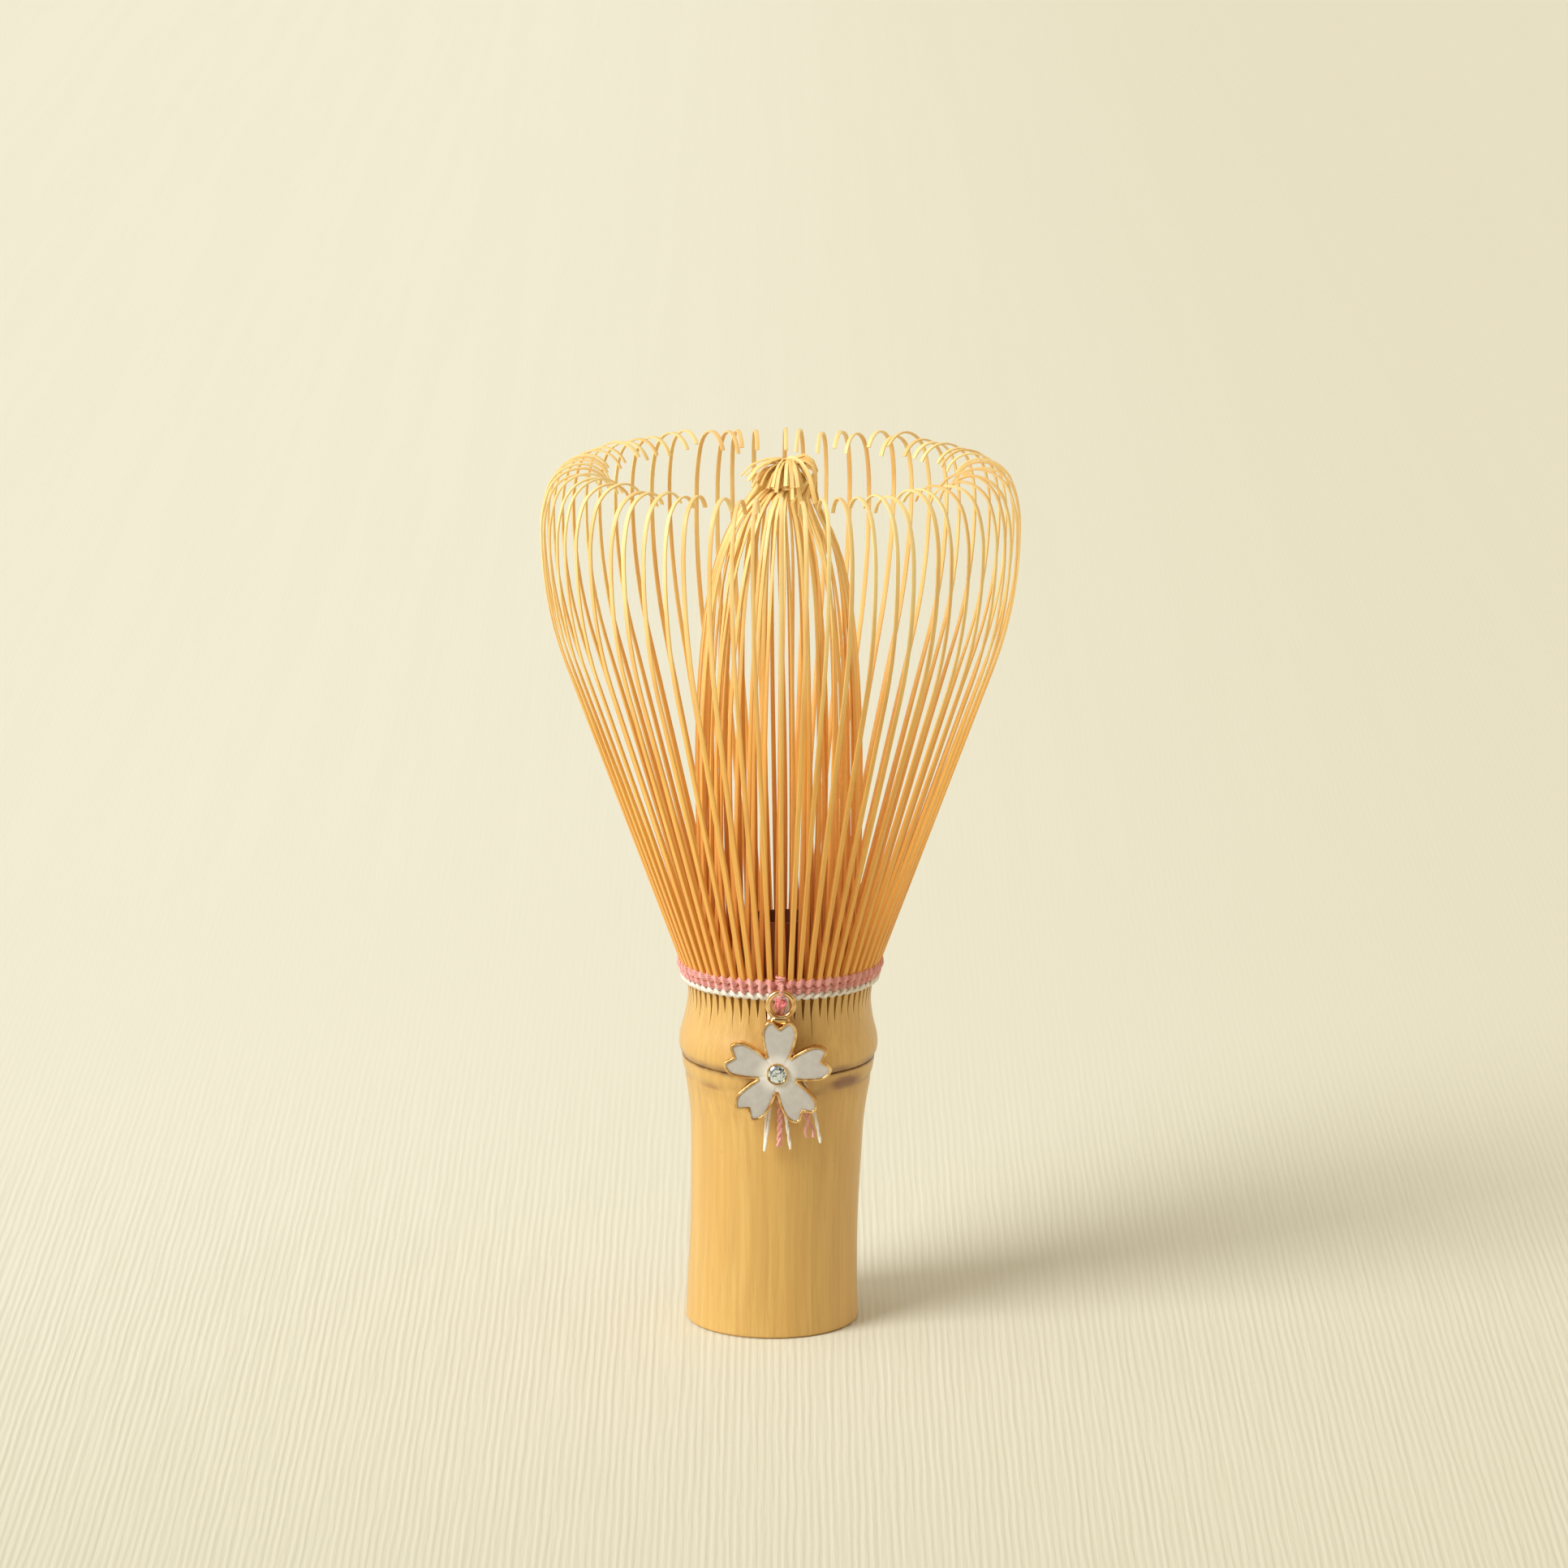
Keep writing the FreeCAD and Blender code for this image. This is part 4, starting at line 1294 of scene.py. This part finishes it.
def blossom_outline():
    """Five petals: up one side, round the shoulder to the lobe, into the notch, and back down."""
    half = arc_through(CORNER, FLANK, SIDE, ARC_POINTS) + arc_through(SIDE, SHOULDER, LOBE, ARC_POINTS)
    half += [Vector(LOBE), Vector(LOBE_END)]
    petal = half + [Vector((0, NOTCH))] + [Vector((-point.x, point.y)) for point in reversed(half)]
    return [Matrix.Rotation(math.radians(72 * k), 2) @ point for k in range(5) for point in petal]


def blossom_plate(name, z):
    """A filled circle whose corners are drawn to the blossom's outline."""
    outline = blossom_outline()
    bpy.ops.mesh.primitive_circle_add(vertices=len(outline), radius=5 * MM, fill_type="NGON", location=(0, 0, 0))
    piece = started(name)
    start = math.atan2(piece.data.vertices[0].co.y, piece.data.vertices[0].co.x)
    first = outline[0].to_3d()
    forward = (piece.data.vertices[1].co.cross(piece.data.vertices[0].co)).z < 0
    for index, corner in enumerate(piece.data.vertices):
        point = outline[index if forward else -index]
        corner.co = Vector((point.x, point.y, z)) * MM
    print(name, "starts at", round(math.degrees(start)), "first corner", [round(v, 2) for v in first])
    return piece


def hang(piece):
    """Stand a charm piece up with its face to the front, at the eye, tilted as it hangs."""
    back_y = EYE.y + RIM_H / 2 - 0.1
    stand = Matrix.Rotation(math.radians(90), 4, "X")
    shift = Matrix.Translation(Vector((EYE.x, back_y, EYE.z - EYE_TO_FLOWER)) * MM)
    pivot = Matrix.Translation(Vector((EYE.x, back_y, EYE.z)) * MM)
    tilt = pivot @ Matrix.Rotation(math.radians(TILT), 4, "Y") @ pivot.inverted()
    piece.data.transform(tilt @ shift @ stand)
    return piece


# %% The casting
def casting_body():
    """Plate, rim and recess from one filled outline."""
    piece = blossom_plate("blossom", 0)
    with editing(piece) as shape:
        pick(shape, "faces", lambda face: True)
        extrude(z=RIM_H)
        bpy.ops.mesh.inset(thickness=RIM_W * MM, use_even_offset=True)
        extrude(z=PLATE_T - RIM_H)
        pick(bmesh.from_edit_mesh(piece.data), "faces", lambda face: len(face.verts) > 4)
        bpy.ops.mesh.poke()
    outward(piece)
    with editing(piece) as shape:
        top = RIM_H * MM
        pick(shape, "edges", lambda edge: all(abs(corner.co.z - top) < 1e-6 for corner in edge.verts)
             and len(edge.link_faces) == 2
             and abs(edge.link_faces[0].normal.z - edge.link_faces[1].normal.z) > 0.5)
        bpy.ops.mesh.bevel(offset=0.11 * MM, segments=3, clamp_overlap=True)
    return piece


def cup():
    """The stone's cup: a drum whose top is inset and sunk, with a rounded lip."""
    bpy.ops.mesh.primitive_cylinder_add(vertices=48, radius=1.34 * MM, depth=1.35 * MM,
                                        location=(0, 0, (0.3 + 0.675) * MM))
    piece = started("cup")
    only(piece)
    bpy.ops.object.transform_apply(location=True)
    with editing(piece) as shape:
        pick(shape, "faces", lambda face: face.normal.z > 0.9)
        bpy.ops.mesh.inset(thickness=0.15 * MM)
        extrude(z=-0.35)
        high = 1.65 * MM
        shape = bmesh.from_edit_mesh(piece.data)
        pick(shape, "edges", lambda edge: all(abs(corner.co.z - high) < 1e-6 for corner in edge.verts)
             and abs(edge.link_faces[0].normal.z - edge.link_faces[1].normal.z) > 0.5)
        bpy.ops.mesh.bevel(offset=0.06 * MM, segments=2)
    return piece


def eye_ring():
    """The hanging ring, a little flattened, with a cast fillet that joins it to the top lobes."""
    bpy.ops.mesh.primitive_torus_add(major_radius=1.59 * MM, minor_radius=0.35 * MM, major_segments=72,
                                     minor_segments=18, location=(0, (EYE_TO_FLOWER - 0.12) * MM, (RIM_H / 2 - 0.1) * MM))
    parts = [started("eye")]
    bpy.ops.mesh.primitive_uv_sphere_add(segments=32, ring_count=16, radius=1 * MM,
                                         location=(0, 6.72 * MM, 0.56 * MM), scale=(1.22, 0.56, 0.46))
    parts.append(started("fillet"))
    for part in parts:
        only(part)
        bpy.ops.object.transform_apply(location=True, scale=True)
    return joined("eye_ring", parts)


def gold_plate():
    """Polished plating, slightly uneven, with painted shade in the low spots of its ripple."""
    made = Finish("plated_gold")
    wave = made.grain((900, 900, 900), 2.0, 0.5)
    fine = made.grain((6000, 6000, 6000), 2.0, 0.5)
    # painted shade: the low spots of the ripple, which the bump also sinks, are darker
    tone = made.mix(made.span(wave, 0.35, 0.7), srgb(206, 156, 92), srgb(250, 218, 160))
    return made.done(Base_Color=tone, Metallic=1.0, Roughness=made.span(fine, 0.3, 0.7, 0.07, 0.16),
                     Normal=made.bump(wave, 0.09, 0.5))


gold = gold_plate()
casting = joined("charm_casting_gold", [casting_body(), cup(), eye_ring()])
outward(casting)
hang(casting)
finish_with(casting, gold)
smooth(casting, 35)
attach(casting, "charm")
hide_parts("charm_casting")
report(casting)

# %% [markdown]
# ## Enamel and stone
# The enamel is poured, so it creeps up at the rim and lies gently domed, grey-white, with its pearl
# shimmer painted as a highlight that brightens toward the middle and in the creases between petals. Its
# UV map is the flat blossom in millimetres, which is what that radial pattern reads. The stone is a
# foiled brilliant: the foil makes its facets flash white and black, so each facet carries its own
# painted reflection.

# %% The enamel
def pearl_enamel():
    """Pearly grey-white with a painted highlight that brightens at the middle and along soft creases between the
    petals.
    """
    made = Finish("pearl_fill", "UV")
    across, up, _ = made.axes()
    spread = made.math("SQRT", made.math("ADD", made.math("MULTIPLY", across, across),
                                         made.math("MULTIPLY", up, up)))
    turn = made.math("ARCTAN2", up, across)
    fifth = made.math("PINGPONG", made.math("ADD", turn, math.radians(270 + 36)), math.radians(36))
    # painted highlight: lighter along the creases between petals and toward the middle
    crease = made.math("MULTIPLY", made.span(made.math("MULTIPLY", fifth, spread), 0.0, 0.42, 1.0, 0.0),
                       made.span(spread, 2.0, 3.4, 0.75, 0.0))
    heart = made.span(spread, 1.3, 3.0, 0.85, 0.0)
    painted_shimmer = made.math("MAXIMUM", crease, heart)
    swirl = made.grain((0.9, 0.9, 0.9), 3.0, 0.6)
    dust = made.grain((14, 14, 14), 2.0, 0.6)
    tone = made.mix(made.span(swirl, 0.35, 0.7), srgb(187, 183, 178), srgb(198, 194, 188))
    tone = made.mix(painted_shimmer, tone, srgb(240, 238, 232))
    tone = made.mix(made.span(dust, 0.56, 0.72, 0.0, 0.18), tone, srgb(226, 224, 220))
    return made.done(Base_Color=tone, Roughness=0.3, Coat_Weight=0.7, Coat_Roughness=0.08,
                     Sheen_Weight=0.12, Normal=made.bump(dust, 0.01, 0.3))


def enamel_fill():
    """The recess filled by a low dome, in rings that shrink toward the middle."""
    piece = blossom_plate("charm_enamel_fill", PLATE_T)
    with editing(piece) as shape:
        pick(shape, "faces", lambda face: True)
        bpy.ops.mesh.inset(thickness=(RIM_W - 0.06) * MM, use_even_offset=True)
        pick(bmesh.from_edit_mesh(piece.data), "faces", lambda face: len(face.verts) == 4)
        bpy.ops.mesh.delete(type="FACE")
        pick(bmesh.from_edit_mesh(piece.data), "faces", lambda face: True)
        extrude(z=0.36)
        for shrink, rise in ((0.97, 0.035), (0.93, 0.03), (0.8, 0.035), (0.75, 0.02), (0.7, 0.01), (0.5, 0)):
            extrude(z=rise)
            bpy.ops.transform.resize(value=(shrink, shrink, 1), center_override=(0, 0, 0))
        pick(bmesh.from_edit_mesh(piece.data), "faces", lambda face: len(face.verts) > 4)
        bpy.ops.mesh.poke()
    outward(piece)
    uv = piece.data.uv_layers.active or piece.data.uv_layers.new(name="UVMap")
    for loop in piece.data.loops:
        corner = piece.data.vertices[loop.vertex_index].co / MM
        uv.data[loop.index].uv = (corner.x, corner.y)
    return piece


enamel = enamel_fill()
hang(enamel)
finish_with(enamel, pearl_enamel())
smooth(enamel, 40)
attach(enamel, "charm")
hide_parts("charm_enamel")
report(enamel)


# %% The stone
def foiled_stone():
    """A foil-backed stone: mirror facets, each with its own painted reflection, light and dark."""
    made = Finish("foiled_facets")
    spark = made.attribute("facet")
    grit = made.grain((5000, 5000, 5000), 1.0, 0.5)
    # painted reflection: each facet's flash, white or black, comes from its own painted number
    tone = made.mix(spark, srgb(84, 98, 112), srgb(244, 252, 255))
    tone = made.mix(made.span(grit, 0.55, 0.75, 0.0, 0.2), tone, srgb(190, 205, 215))
    return made.done(Base_Color=tone, Metallic=0.75, Roughness=0.06, Coat_Weight=1.0, Coat_Roughness=0.02)


def cut_stone():
    """Girdle, two crown rows and a star of facets over the table, from one circle of 16."""
    girdle = 1.45
    bpy.ops.mesh.primitive_circle_add(vertices=16, radius=0.5 * MM, fill_type="NGON",
                                      location=(0, 0, (girdle - 0.5) * MM))
    piece = started("charm_brilliant")
    only(piece)
    bpy.ops.object.transform_apply(location=True)
    rows = ((1.19, girdle, 0), (1.19, girdle + 0.08, 0), (0.95, girdle + 0.24, 11.25), (0.66, girdle + 0.34, 0),
            (0.34, girdle + 0.31, 11.25))
    radius, z = 0.5, girdle - 0.5
    with editing(piece) as shape:
        pick(shape, "faces", lambda face: True)
        for next_radius, next_z, turn in rows:
            extrude(z=next_z - z)
            grow = next_radius / radius
            bpy.ops.transform.resize(value=(grow, grow, 1), center_override=(0, 0, next_z * MM))
            if turn:
                bpy.ops.transform.rotate(value=math.radians(turn), orient_axis="Z", center_override=(0, 0, 0))
            radius, z = next_radius, next_z
        bpy.ops.mesh.poke(offset=-0.03 * MM)
        bpy.ops.mesh.select_all(action="SELECT")
        bpy.ops.mesh.quads_convert_to_tris()
    outward(piece)
    draw = random.Random(5)
    facet = piece.data.attributes.new("facet", "FLOAT", "FACE")
    # painted reflection: each facet draws its own brightness
    for face in piece.data.polygons:
        facet.data[face.index].value = draw.choice((0.05, 0.35, 0.7, 0.95, 1.0))
    return piece


stone = cut_stone()
hang(stone)
finish_with(stone, foiled_stone())
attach(stone, "charm")
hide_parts("charm_stone")
report(stone)
